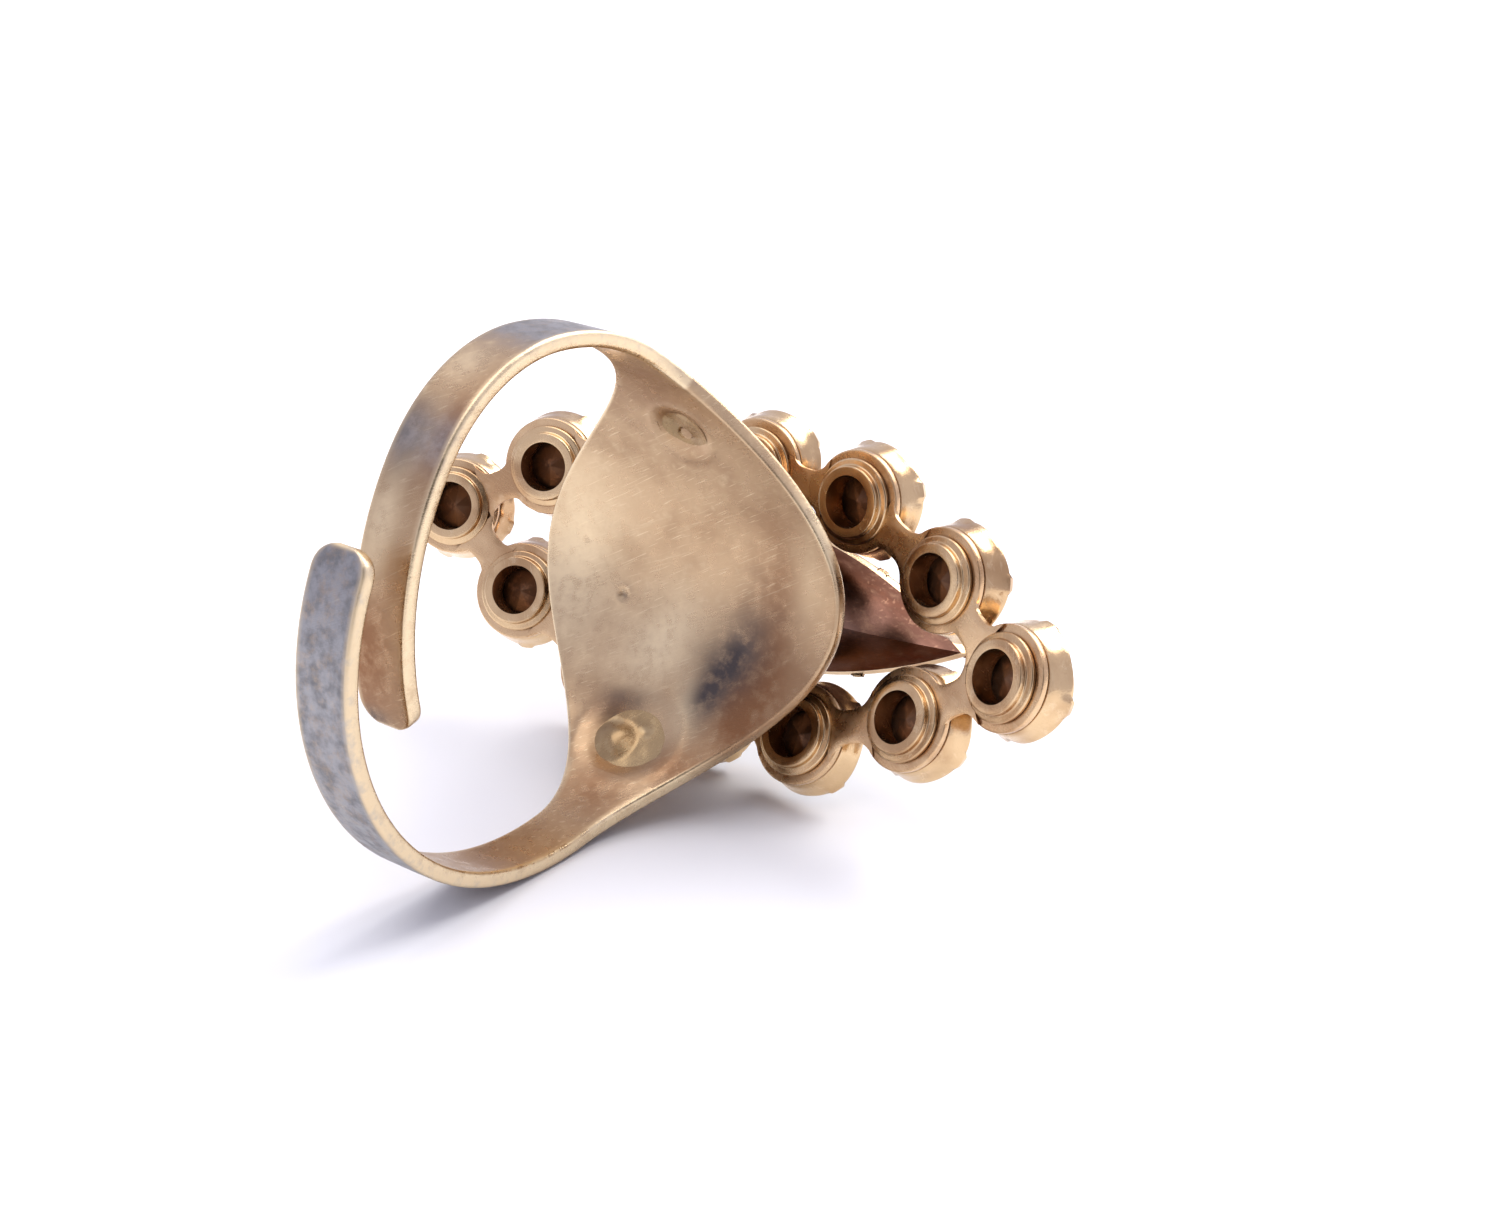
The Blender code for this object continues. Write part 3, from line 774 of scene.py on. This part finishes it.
    @staticmethod
    def edge_polish_and_highlight(along: float, across: float) -> float:
        """How bright the rubbed edges are at a place, from 0 to 1: a painted highlight, full on one side and up
        the arms, patchy along the other side of the pad.
        """
        if across > 0 or along > 9.5:
            return 1.0
        bright = math.exp(-((along - 3.2) / 1.7) ** 2)
        return max(0.12, bright, smooth_step(5.5, 8.0, -along))

    def rub(self, along: float) -> float:
        """How far the outer face is rubbed through to grey metal, from 0 to 1."""
        if along < 0:
            return smooth_step(13.0, 17.5, -along)
        top = smooth_step(8.5, 12.0, along) * (1 - smooth_step(16.8, 18.6, along))
        patch = 0.6 * math.exp(-((along - 22.2) / 0.9) ** 2)
        return 0.95 * top + patch

    def pad(self, seat: Seat, finishes: Finishes) -> bpy.types.Object:
        """Make the shield pad."""
        steps = 150
        stations = [self.seam * (2 * index / steps - 1) for index in range(steps + 1)]
        pad = seat.finish("pad_shield", self.blank(stations, 110, None), [finishes.shank], Slot.SHANK)
        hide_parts("shank_pad")
        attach(pad, Body.SETTING.value)
        return pad

    def arm(self, seat: Seat, finishes: Finishes, sign: int, end: float, name: str, node: str,
            body: Body) -> bpy.types.Object:
        """Make one arm.

        Args:
            seat: puts the mesh in the frame.
            finishes: the ring's materials.
            sign: 1 for the upper arm, -1 for the lower one.
            end: how far the arm reaches.
            name: the piece's name.
            node: the CAD node that it stands for.
            body: the body that the arm's free end rides on; not used.

        Returns:
            The arm.
        """
        straight = end - self.tip
        steps = 120
        stations = [self.seam + (straight - self.seam) * index / steps for index in range(steps)]
        stations += [straight + self.tip * math.sin(math.radians(5 * index)) for index in range(17)]
        stations += [end - 0.004]
        stations = [sign * station for station in stations]
        arm = seat.finish(name, self.blank(stations, 14, end), [finishes.shank], Slot.SHANK)
        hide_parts(node)
        start = seat.point(self.line.at(sign * self.bend_start)[0])
        stop = seat.point(self.line.at(sign * self.bend_end)[0])
        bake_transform(arm)
        return arm

    def build(self, seat: Seat, finishes: Finishes) -> None:
        """Make the pad and both arms."""
        self.pad(seat, finishes)
        self.arm(seat, finishes, 1, self.upper_end, "arm_upper", "arm_inner", Body.UPPER_ARM)
        self.arm(seat, finishes, -1, self.lower_end, "arm_lower", "arm_outer", Body.LOWER_ARM)


# ---------------------------------------------------------------- solder joints and posts

@dataclass(frozen=True)
class Joint:
    """One solder joint: its place on the pad, its puddle, its lump, and the post behind it."""

    side: str
    along: float
    across: float
    puddle: float
    depth: float
    lump: float
    lump_place: tuple[float, float]
    pit: tuple[float, float, float]
    cup_height: float
    rim: float
    dome: float = 0.05
    post_radius: float = 0.52

    def matrix(self, line: Line, half: float) -> Matrix:
        """A frame on the pad's inner face at the joint, whose z points at the finger."""
        place, tangent, inward = line.at(self.along)
        place = place + Vector((self.across, 0, 0)) + inward * half
        aside = inward.cross(tangent)
        return Matrix.Translation(place) @ Matrix((aside.cross(inward), aside, inward)).transposed().to_4x4()

    def relief(self, x: float, y: float) -> float:
        """Height of the puddle's skin at a place on it, over its rim."""
        away = math.hypot(x, y) / self.puddle
        skin = self.dome * (1 - away ** 2)
        lump = math.hypot(x - self.lump_place[0], y - self.lump_place[1])
        skin += self.lump * (1 - min(1.0, lump / (0.6 * self.puddle)) ** 2) ** 1.5
        pit = math.hypot(x - self.pit[0], y - self.pit[1])
        skin -= self.pit[2] * (1 - smooth_step(0.0, 0.36, pit))
        return skin + 0.02 * noise.noise(Vector((x * 1.6, y * 1.6, self.along)))

    def settle(self, point: Vector) -> Vector:
        """Sink a point of the puddle into its pocket and give the skin its relief."""
        away = math.hypot(point.x, point.y) / self.puddle
        wobble = 1 + 0.06 * noise.noise(Vector((point.x * 1.3, point.y * 1.3, 4.0 + self.along)))
        height = (self.rim + self.depth) * away ** 2.2 - self.depth + point.z
        if point.z > -0.05:
            height += self.relief(point.x, point.y) * (1 - away ** 6)
        return Vector((point.x * wobble, point.y * wobble, height))

    def build(self, seat: Seat, shank: Shank, cups: "Cluster", finishes: Finishes) -> None:
        """Make the puddle and the post."""
        rings = [(self.puddle * step / 24, 0.0) for step in range(25)]
        section = rings + [(self.puddle * 0.96, -0.16), (0.0, -0.16)]
        shape = spun(section, 72, self.settle, closed=False)
        bmesh.ops.transform(shape, matrix=self.matrix(shank.line, shank.thickness / 2), verts=shape.verts)
        puddle = seat.finish("solder_puddle_" + self.side, shape, [finishes.solder], Slot.SOLDER)
        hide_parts("solder_" + self.side)
        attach(puddle, Body.SETTING.value)
        self.post(seat, shank, cups, finishes)

    def post(self, seat: Seat, shank: Shank, cups: "Cluster", finishes: Finishes) -> None:
        """Make the post from the middle cup's rivet to the back of the pad, with a flared foot."""
        start = cups.matrix(0.0, self.cup_height) @ Vector((0, 0, 0.25))
        foot = self.matrix(shank.line, shank.thickness / 2)
        end = foot @ Vector((0, 0, -0.56))
        length = (end - start).length
        radius = self.post_radius
        section = [(0.0, 0.0), (radius * 0.94, 0.0), (radius, 0.06), (radius, 0.4), (radius * 0.9, 0.55),
                   (radius * 0.9, length - 0.6), (radius, length - 0.42), (radius * 1.25, length - 0.22),
                   (radius * 1.5, length - 0.08), (radius * 1.5, length), (0.0, length)]
        shape = spun(section, 32, closed=False)
        turn = (end - start).to_track_quat("Z", "Y").to_matrix().to_4x4()
        stand = Matrix.Translation(start) @ turn
        facing, axis = foot.col[2].to_3d(), (end - start).normalized()
        for point in shape.verts:
            sole = stand @ Vector((point.co.x, point.co.y, length))
            reach = (end - sole).dot(facing) / axis.dot(facing)
            point.co.z += reach * smooth_step(length - 1.4, length - 0.1, point.co.z)
        bmesh.ops.transform(shape, matrix=stand, verts=shape.verts)
        post = seat.finish("post_" + self.side, shape, [finishes.web], Slot.CUP)
        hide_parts("mounting_post_" + self.side)
        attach(post, Body.SETTING.value)


# ---------------------------------------------------------------- cluster

@dataclass(frozen=True)
class Cup:
    """A drawn stone cup with its tubular rivet, flared wall, scalloped rim and folded prongs."""

    hole: float = 0.95
    neck: float = 1.27
    step: float = 1.62
    back: float = 0.8
    steps: int = 128
    prongs: int = 4
    prong_half_angle: float = math.radians(9)
    rim_radius: float = 2.2
    rim_height: float = 1.98
    scallop: float = 0.26

    def section(self) -> list[tuple[float, float]]:
        """The closed section of the cup's metal, with every corner rounded."""
        rolled = rounded(((self.hole, 0.0), (1.35, 0.0), (1.35, 0.27), (self.step, 0.3), (self.step, 0.49),
                          (self.neck, 0.49), (self.neck, self.back), (1.9, self.back)), 0.07, 3)[2:-2]
        wall = [(1.95, 0.83), (1.99, 0.92), (2.03, 1.1), (2.075, 1.3), (2.115, 1.5), (2.16, 1.7),
                (2.19, 1.85), (2.2, 1.93), (2.19, 1.97), (2.165, 1.985), (2.13, 1.985), (2.1, 1.95)]
        inside = [(2.06, 1.82), (2.01, 1.6), (1.93, 1.34), (1.85, 1.14), (1.76, 1.04), (1.6, 0.99),
                  (1.3, 0.985), (1.04, 0.98), (self.hole, 0.93), (self.hole, 0.5)]
        return rolled + wall + inside

    def prong_share(self, angle: float) -> float:
        """1 on a prong, 0 between prongs."""
        pitch = 2 * math.pi / self.prongs
        off = abs((angle + pitch / 2) % pitch - pitch / 2)
        return 1 - smooth_step(self.prong_half_angle * 0.7, self.prong_half_angle * 1.25, off)

    def shift(self, point: Vector) -> Vector:
        """Scallop the wall's edge between the prongs, and fold the prongs over the stone."""
        radius = math.hypot(point.x, point.y)
        if radius < 1.9 or point.z < 1.2:
            return point
        angle = math.atan2(point.y, point.x)
        share = self.prong_share(angle)
        up = smooth_step(1.25, 1.98, point.z)
        between = 0.5 - 0.5 * math.cos(self.prongs * angle)
        height = point.z - up * (1 - share) * self.scallop * (0.4 + 0.6 * between)
        height += 0.2 * up ** 3 * share
        lean = smooth_step(1.8, 1.98, point.z) * share
        reach = radius + 0.13 * share * smooth_step(1.4, 1.7, point.z) - 0.62 * lean
        return Vector((math.cos(angle) * reach, math.sin(angle) * reach, height))

    def shape(self) -> bmesh.types.BMesh:
        """The cup in its own axes, its rivet's rim at z = 0."""
        return spun(self.section(), self.steps, self.shift)


@dataclass(frozen=True)
class Chaton:
    """A round foiled stone with a cut crown and a pointed back."""

    girdle_radius: float = 1.93
    girdle_height: float = 1.69
    table_radius: float = 1.1
    table_height: float = 2.23
    culet_height: float = 0.62

    def ring(self, count: int, radius: float, height: float, offset: float = 0.0) -> list[Vector]:
        """Points evenly round a circle at one height."""
        turns = [2 * math.pi * (index + offset) / count for index in range(count)]
        return [Vector((radius * math.cos(turn), radius * math.sin(turn), height)) for turn in turns]

    def crown(self) -> bmesh.types.BMesh:
        """The glass: table, star, kite and girdle facets over a shallow foiled back."""
        points = self.ring(8, self.table_radius, self.table_height, 0.5)
        points += self.ring(8, 1.56, self.table_height - 0.17)
        points += self.ring(16, self.girdle_radius, self.girdle_height + 0.12)
        points += self.ring(16, self.girdle_radius, self.girdle_height - 0.02)
        points += self.ring(8, 0.95, 1.1, 0.5) + [Vector((0, 0, self.culet_height + 0.03))]
        return hull(points)

    def foil(self) -> bmesh.types.BMesh:
        """The foil, a thin faceted shell just behind the glass."""
        points = self.ring(16, self.girdle_radius + 0.04, self.girdle_height + 0.04)
        points += self.ring(16, self.girdle_radius + 0.04, self.girdle_height - 0.08)
        points += self.ring(8, 0.95, 1.1 - 0.04, 0.5) + [Vector((0, 0, self.culet_height - 0.01))]
        shape = hull(points)
        top = [face for face in shape.faces if face.normal.z > 0.9]
        bmesh.ops.delete(shape, geom=top, context="FACES")
        return lined(shape, Vector((0, 0, self.girdle_height)))


def hull(points: Sequence[Vector]) -> bmesh.types.BMesh:
    """The convex solid through a set of points, with flat facets merged."""
    shape = bmesh.new()
    for place in points:
        shape.verts.new(place)
    bmesh.ops.convex_hull(shape, input=list(shape.verts))
    loose = [point for point in shape.verts if not point.link_faces]
    bmesh.ops.delete(shape, geom=loose, context="VERTS")
    bmesh.ops.dissolve_limit(shape, angle_limit=math.radians(0.6), verts=shape.verts, edges=shape.edges)
    bmesh.ops.recalc_face_normals(shape, faces=shape.faces)
    return shape


def lined(shape: bmesh.types.BMesh, middle: Vector) -> bmesh.types.BMesh:
    """Give a foil shell its thickness, and its inner side the second material.

    Args:
        shape: the open shell.
        middle: a point in front of the shell's inner side.

    Returns:
        The same bmesh.
    """
    bmesh.ops.solidify(shape, geom=list(shape.faces), thickness=0.02)
    bmesh.ops.recalc_face_normals(shape, faces=shape.faces)
    for face in shape.faces:
        if (middle - face.calc_center_median()).dot(face.normal) > 0:
            face.material_index = 1
    return shape


@dataclass(frozen=True)
class Cluster:
    """The domed loop of twelve cups on their stamped web."""

    quarter: Section = ((12.8, 0.0), (9.1, 2.55), (4.66, 4.41), (0.0, 4.6))
    dome: float = 0.009
    tilt_along: float = math.radians(1.44)
    tilt_across: float = math.radians(1.88)
    lobe_radius: float = 1.94
    web_back: float = 0.5
    web_thickness: float = 0.29
    neck_half_width: float = 0.62
    cup: Cup = field(default_factory=Cup)
    stone: Chaton = field(default_factory=Chaton)

    def places(self) -> list[tuple[float, float]]:
        """Every cup's place in order round the loop."""
        quarter = list(self.quarter)
        upper = quarter + [(-x, z) for x, z in reversed(quarter[:-1])]
        return upper + [(x, -z) for x, z in reversed(upper[1:-1])]

    def matrix(self, x: float, z: float) -> Matrix:
        """A cup's frame: its origin in the rivet's rim, its z towards the stone."""
        out = Matrix.Rotation(self.tilt_along * x, 4, "Z") @ Matrix.Rotation(-self.tilt_across * z, 4, "X")
        return (Matrix.Translation((x, self.dome * x * x, z)) @ out
                @ Matrix.Rotation(math.radians(90), 4, "X"))

    def spin_of(self, index: int) -> Matrix:
        """The turn that keeps a cup's prongs off its neighbours."""
        places = self.places()
        x, z = places[index]
        ahead = places[(index + 1) % len(places)]
        return Matrix.Rotation(math.atan2(ahead[1] - z, ahead[0] - x) + math.pi / self.cup.prongs, 4, "Z")

    def lobe(self) -> bmesh.types.BMesh:
        """One lobe of the web, a flat washer with rounded rims."""
        low, high = self.web_back, self.web_back + self.web_thickness
        section = rounded(((1.2, low), (self.lobe_radius, low), (self.lobe_radius, high), (1.2, high)), 0.07)
        return spun(section, 72)

    def bridge(self, start: Matrix, end: Matrix) -> bmesh.types.BMesh:
        """A waisted strip between two lobes.

        Args:
            start: the frame of the first cup.
            end: the frame of the next one.

        Returns:
            The strip, in the ring's axes.
        """
        middle = self.web_back + self.web_thickness / 2
        here, there = start @ Vector((0, 0, middle)), end @ Vector((0, 0, middle))
        facing = (start.col[2].to_3d() + end.col[2].to_3d()).normalized()
        run = (there - here).normalized()
        side = facing.cross(run).normalized()
        length = (there - here).length
        shape = bmesh.new()
        bmesh.ops.create_grid(shape, x_segments=24, y_segments=8, size=1.0)
        grown = bmesh.ops.extrude_face_region(shape, geom=list(shape.faces))
        lifted = {point for point in grown["geom"] if isinstance(point, bmesh.types.BMVert)}
        for point in shape.verts:
            share = (point.co.x + 1) / 2
            off = abs(point.co.x)
            half = self.neck_half_width + 0.62 * off ** 3.2
            round_off = 1 - abs(point.co.y) ** 6 * 0.35
            lift = self.web_thickness * 0.46 * round_off * (1 if point in lifted else -1)
            lift += -0.05 * (1 - off * off)
            place = here + run * (1.45 + (length - 2.9) * share)
            point.co = place + side * (point.co.y * half) + run.cross(side) * lift
        return shape

    def build(self, seat: Seat, finishes: Finishes) -> None:
        """Make the web, the cups and the stones."""
        places = self.places()
        matrices = [self.matrix(x, z) for x, z in places]
        web = bmesh.new()
        lobe = self.lobe()
        for index, matrix in enumerate(matrices):
            join(web, lobe, matrix)
            join(web, self.bridge(matrix, matrices[(index + 1) % len(matrices)]), Matrix.Identity(4))
        lobe.free()
        piece = seat.finish("cluster_web", web, [finishes.web], Slot.CUP)
        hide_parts("cluster_frame")
        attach(piece, Body.SETTING.value)
        for index, matrix in enumerate(matrices):
            number = "{:02d}".format(index + 1)
            turned = matrix @ self.spin_of(index)
            shape = self.cup.shape()
            bmesh.ops.transform(shape, matrix=turned, verts=shape.verts)
            cup = seat.finish("cup_" + number, shape, [finishes.cup], Slot.CUP)
            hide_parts("stone_cup_" + number)
            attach(cup, Body.SETTING.value)
            self.stone_piece(number, turned, seat, finishes)

    def stone_piece(self, number: str, matrix: Matrix, seat: Seat, finishes: Finishes) -> None:
        """Make one stone, its glass and its foil.

        Args:
            number: the stone's number.
            matrix: the frame of its cup.
            seat: puts the meshes in the frame.
            finishes: the ring's materials.
        """
        glass, foil = self.stone.crown(), self.stone.foil()
        for shape in (glass, foil):
            bmesh.ops.transform(shape, matrix=matrix, verts=shape.verts)
        stone = seat.finish("stone_" + number, glass, [finishes.glass], Slot.GLASS, smooth=False)
        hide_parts("chaton_" + number)
        back = seat.finish("foil_" + number, foil, [finishes.foil, finishes.mirror], Slot.GLASS, smooth=False)
        for piece in (stone, back):
            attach(piece, Body.SETTING.value)


# ---------------------------------------------------------------- centre

@dataclass(frozen=True)
class Centre:
    """The closed-back navette setting and its stone. Rows are (y, half length, half width)."""

    outside: Sequence[Colour] = (
        (1.03, 5.3, 1.2), (1.0, 5.8, 1.48), (0.9, 6.2, 1.68), (0.6, 6.75, 1.9), (0.1, 7.28, 2.1),
        (-0.45, 7.85, 2.28), (-1.0, 8.32, 2.42), (-1.6, 8.75, 2.54), (-2.2, 9.12, 2.64),
        (-2.55, 9.4, 2.74), (-2.72, 9.52, 2.8), (-2.78, 9.62, 2.85), (-2.9, 9.66, 2.86), (-3.0, 9.64, 2.85),
        (-3.06, 9.56, 2.8), (-3.07, 9.48, 2.74), (-3.02, 9.38, 2.68),
    )
    inside: Sequence[Colour] = ((-2.55, 9.2, 2.58), (-1.9, 8.6, 2.36), (-1.0, 7.95, 2.14), (0.1, 6.8, 1.8),
                                (0.7, 5.5, 1.2))
    stone: Sequence[Colour] = ((-3.74, 6.3, 1.35), (-3.3, 7.9, 2.05), (-2.76, 9.05, 2.5), (-2.68, 9.05, 2.5),
                               (-1.2, 7.0, 1.5), (0.2, 4.4, 0.06))
    claws: Section = ((9.1, 0.0), (5.2, 1.0), (5.2, -1.0), (-9.1, 0.0), (-5.2, 1.0), (-5.2, -1.0))
    points: int = 96

    @staticmethod
    def on_outline(turn: float, y: float, half_length: float, half_width: float) -> Vector:
        """A point of a navette outline, two arcs that meet at its tips."""
        share = math.cos(turn)
        height = half_width * (1 - share * share)
        return Vector((half_length * share, y, height if math.sin(turn) >= 0 else -height))

    def setting(self) -> bmesh.types.BMesh:
        """The wall, drawn up from the back ring by ring, over the rim and down the inside."""
        shape = bmesh.new()
        made = bmesh.ops.create_circle(shape, cap_ends=True, radius=1.0, segments=self.points)
        ring = list(made["verts"])
        turns = {}
        for point in ring:
            turns[point] = math.atan2(point.co.y, point.co.x)
        rows = list(self.outside) + list(self.inside)
        for point in ring:
            point.co = self.on_outline(turns[point], *rows[0])
        edges = [edge for edge in shape.edges]
        for row in rows[1:]:
            grown = bmesh.ops.extrude_edge_only(shape, edges=edges)
            fresh = [part for part in grown["geom"] if isinstance(part, bmesh.types.BMVert)]
            edges = [part for part in grown["geom"] if isinstance(part, bmesh.types.BMEdge)]
            known = sorted(turns.items(), key=lambda item: item[1])
            before = {tuple(round(v, 5) for v in point.co): turn for point, turn in known}
            turns = {point: before[tuple(round(v, 5) for v in point.co)] for point in fresh}
            for point, turn in turns.items():
                point.co = self.on_outline(turn, *row)
        bmesh.ops.holes_fill(shape, edges=edges, sides=0)
        return shape

    def claw(self, place: float, side: float) -> bmesh.types.BMesh:
        """A small claw folded from the rim over the stone.

        Args:
            place: where it stands along the finger.
            side: 1 or -1 for a side, 0 for a tip.

        Returns:
            The claw, in the ring's axes.
        """
        shape = bmesh.new()
        bmesh.ops.create_cube(shape, size=1.0)
        bmesh.ops.subdivide_edges(shape, edges=shape.edges, cuts=3, use_grid_fill=True)
        half = 2.85 * (1 - (place / 9.66) ** 2)
        edge = Vector((place, -2.85, side * half)) if side else Vector((math.copysign(9.52, place), -2.85, 0))
        inward = (Vector((-math.copysign(0.25, place), 0, -side)) if side
                  else Vector((-math.copysign(1.0, place), 0, 0))).normalized()
        front = Vector((0, -1, 0))
        aside = inward.cross(front)
        for point in shape.verts:
            width, reach, thick = point.co.x, point.co.y + 0.5, point.co.z
            curl = reach * 1.15
            lean = inward * (0.62 * curl - 0.04) + front * (0.3 * math.sin(curl * 2.2))
            taper = 0.42 * (1 - 0.35 * reach * reach)
            point.co = edge + lean + aside * (width * taper) + (front - inward * 0.4).normalized() * (thick * 0.11)
        bmesh.ops.bevel(shape, geom=[edge for edge in shape.edges if edge.calc_face_angle(0.0) > 0.9],
                        offset=0.04, segments=2, profile=0.5, affect="EDGES", material=-1)
        return shape

    def gem(self) -> bmesh.types.BMesh:
        """The cut navette stone."""
        points = []
        for row, count in zip(self.stone, (5, 8, 12, 12, 8, 2)):
            points += [self.on_outline(math.pi * index / count, *row) for index in range(2 * count)]
        return hull(points)

    def foil(self) -> bmesh.types.BMesh:
        """The foil behind the stone."""
        points = []
        for row, count in zip(self.stone[3:], (12, 8, 2)):
            y, half_length, half_width = row
            points += [self.on_outline(math.pi * index / count, y + 0.05, half_length, half_width)
                       for index in range(2 * count)]
        shape = hull(points)
        top = [face for face in shape.faces if face.normal.y < -0.9]
        bmesh.ops.delete(shape, geom=top, context="FACES")
        return lined(shape, Vector((0, -2.7, 0)))

    def build(self, seat: Seat, finishes: Finishes) -> None:
        """Make the setting, its claws, the stone and the foil."""
        claws = bmesh.new()
        for place, side in self.claws:
            claw = self.claw(place, side)
            join(claws, claw, Matrix.Identity(4))
            claw.free()
        claws = seat.finish("navette_claws", claws, [finishes.cup], Slot.CUP)
        wall = self.setting()
        # The outside of the setting takes the dark hull finish, which is painted shade; the rim at the front takes
        # the cup finish.
        for face in wall.faces:
            face.material_index = 1 if face.calc_center_median().y < -2.5 else 0
        setting = seat.finish("navette_setting", wall, [finishes.hull, finishes.cup], Slot.CUP)
        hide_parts("centre_setting")
        gem = seat.finish("navette_stone", self.gem(), [finishes.glass], Slot.GLASS, smooth=False)
        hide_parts("centre_stone")
        foil = seat.finish("navette_foil", self.foil(), [finishes.foil, finishes.mirror], Slot.GLASS, smooth=False)
        for piece in (setting, claws, gem, foil):
            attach(piece, Body.SETTING.value)


# ---------------------------------------------------------------- studio

@dataclass(frozen=True)
class View:
    """The camera: where it stands round the ring and how it frames it, in degrees and millimetres."""

    azimuth: float = 214.969
    elevation: float = 22.584
    roll: float = -2.557
    aside: float = -1.144
    down: float = -0.822
    away: float = 85.222
    lens: float = 53.35

    def build(self, seat: Seat) -> bpy.types.Object:
        """Make the camera."""
        azimuth, elevation, roll = (math.radians(a) for a in (self.azimuth, self.elevation, self.roll))
        right = Vector((math.cos(azimuth), math.sin(azimuth), 0))
        back = Vector((math.sin(azimuth) * math.cos(elevation), -math.cos(azimuth) * math.cos(elevation),
                       math.sin(elevation)))
        down = (-back).cross(right)
        across = right * math.cos(roll) + down * math.sin(roll)
        below = down * math.cos(roll) - right * math.sin(roll)
        place = seat.point(Vector()) + (back * self.away - across * self.aside - below * self.down) * MM
        data = bpy.data.cameras.new("camera")
        data.lens = self.lens
        data.sensor_width = 36.0
        data.clip_start = 0.001
        camera = bpy.data.objects.new("camera", data)
        turn = Matrix((across, -below, back)).transposed().to_4x4()
        camera.matrix_world = Matrix.Translation(place) @ turn
        bpy.context.collection.objects.link(camera)
        bpy.context.scene.camera = camera
        return camera


class LampKind(Enum):
    """The kinds of light in the studio."""

    SQUARE = "AREA"
    SKY = "SUN"


@dataclass(frozen=True)
class Lamp:
    """A soft light that looks at the ring: where it stands, in metres, its spread and how it shines."""

    kind: LampKind
    name: str
    place: Colour
    size: float
    power: float
    colour: Colour = (1.0, 1.0, 1.0)

    def build(self) -> None:
        """Make the light."""
        data = bpy.data.lights.new(self.name, self.kind.value)
        if self.kind is LampKind.SQUARE:
            data.size = self.size
        else:
            data.angle = self.size
        data.energy = self.power
        data.color = self.colour
        lamp = bpy.data.objects.new(self.name, data)
        place = Vector(self.place)
        turn = (Vector((0, 0, 0.008)) - place).to_track_quat("-Z", "Y").to_matrix().to_4x4()
        lamp.matrix_world = Matrix.Translation(place) @ turn
        bpy.context.collection.objects.link(lamp)


@dataclass(frozen=True)
class Studio:
    """A pale table under soft light, in a room with a soft dark area on one side."""

    floor_size: float = 3.0
    lamps: tuple[Lamp, ...] = (
        Lamp(LampKind.SQUARE, "window", (-0.05, -0.30, 0.27), 0.26, 1.5, (1.0, 0.985, 0.96)),
        Lamp(LampKind.SKY, "ceiling", (0.05, 0.05, 0.5), 1.0, 1.15, (1.0, 1.0, 1.0)),
    )
    fill: float = 0.84
    dark_side: Vector = field(default_factory=lambda: Vector((-0.60, 0.70, 0.55)))

    def room(self) -> None:
        """Light the world: white round about, with a soft dark area on one side."""
        world = bpy.data.worlds.new("room")
        bpy.context.scene.world = world
        world.use_nodes = True
        tree = world.node_tree
        nodes, links = tree.nodes, tree.links
        background = nodes["Background"]
        place = nodes.new("ShaderNodeTexCoord").outputs["Generated"]
        dot = nodes.new("ShaderNodeVectorMath")
        dot.operation = "DOT_PRODUCT"
        links.new(place, dot.inputs[0])
        dot.inputs[1].default_value = self.dark_side.normalized()
        spread = nodes.new("ShaderNodeMapRange")
        spread.interpolation_type = "SMOOTHSTEP"
        links.new(dot.outputs["Value"], spread.inputs["Value"])
        spread.inputs["From Min"].default_value = 0.78
        spread.inputs["From Max"].default_value = 0.96
        mix = nodes.new("ShaderNodeMix")
        mix.data_type = "RGBA"
        links.new(spread.outputs[0], mix.inputs[0])
        mix.inputs[6].default_value = (0.945, 0.935, 1.1, 1.0)
        mix.inputs[7].default_value = (0.16, 0.15, 0.15, 1.0)
        path = nodes.new("ShaderNodeLightPath")
        clean = nodes.new("ShaderNodeMix")
        clean.data_type = "RGBA"
        links.new(path.outputs["Is Camera Ray"], clean.inputs[0])
        links.new(mix.outputs[2], clean.inputs[6])
        clean.inputs[7].default_value = (1.2, 1.2, 1.2, 1.0)
        links.new(clean.outputs[2], background.inputs["Color"])
        background.inputs["Strength"].default_value = self.fill

    def build(self) -> None:
        """Make the table, the lights and the room."""
        shape = bmesh.new()
        bmesh.ops.create_grid(shape, x_segments=4, y_segments=4, size=self.floor_size / 2)
        mesh = bpy.data.meshes.new("table_top")
        shape.to_mesh(mesh)
        shape.free()
        mesh.materials.append(TableTop("table_white").material())
        table = bpy.data.objects.new("table_top", mesh)
        bpy.context.collection.objects.link(table)
        for lamp in self.lamps:
            lamp.build()
        self.room()
        bpy.context.scene.view_settings.view_transform = "Standard"


# ---------------------------------------------------------------- all together

JOINTS = (
    Joint("upper", 6.45, -0.15, 1.08, 0.24, 0.05, (0.3, -0.3), (-0.3, 0.05, 0.16), 4.6, -0.012),
    Joint("lower", -6.7, 0.3, 1.6, 0.36, 0.27, (-0.3, 0.55), (0.5, -0.4, 0.06), -4.6, -0.07, 0.16),
)


def main() -> None:
    """Build the ring, then the studio round it."""
    logging.basicConfig(level=logging.INFO, format="%(name)s %(message)s")
    line = Line()
    bend = next(joint for joint in frame["joints"] if joint["name"] == "outer_arm_bend")
    seat = Seat.from_joint(line, bend, -11.0)
    finishes = Finishes.make()
    shank = Shank(line)
    cluster = Cluster()
    shank.build(seat, finishes)
    for joint in JOINTS:
        joint.build(seat, shank, cluster, finishes)
    cluster.build(seat, finishes)
    Centre().build(seat, finishes)
    View().build(seat)
    Studio().build()


if __name__ == "__main__":
    main()
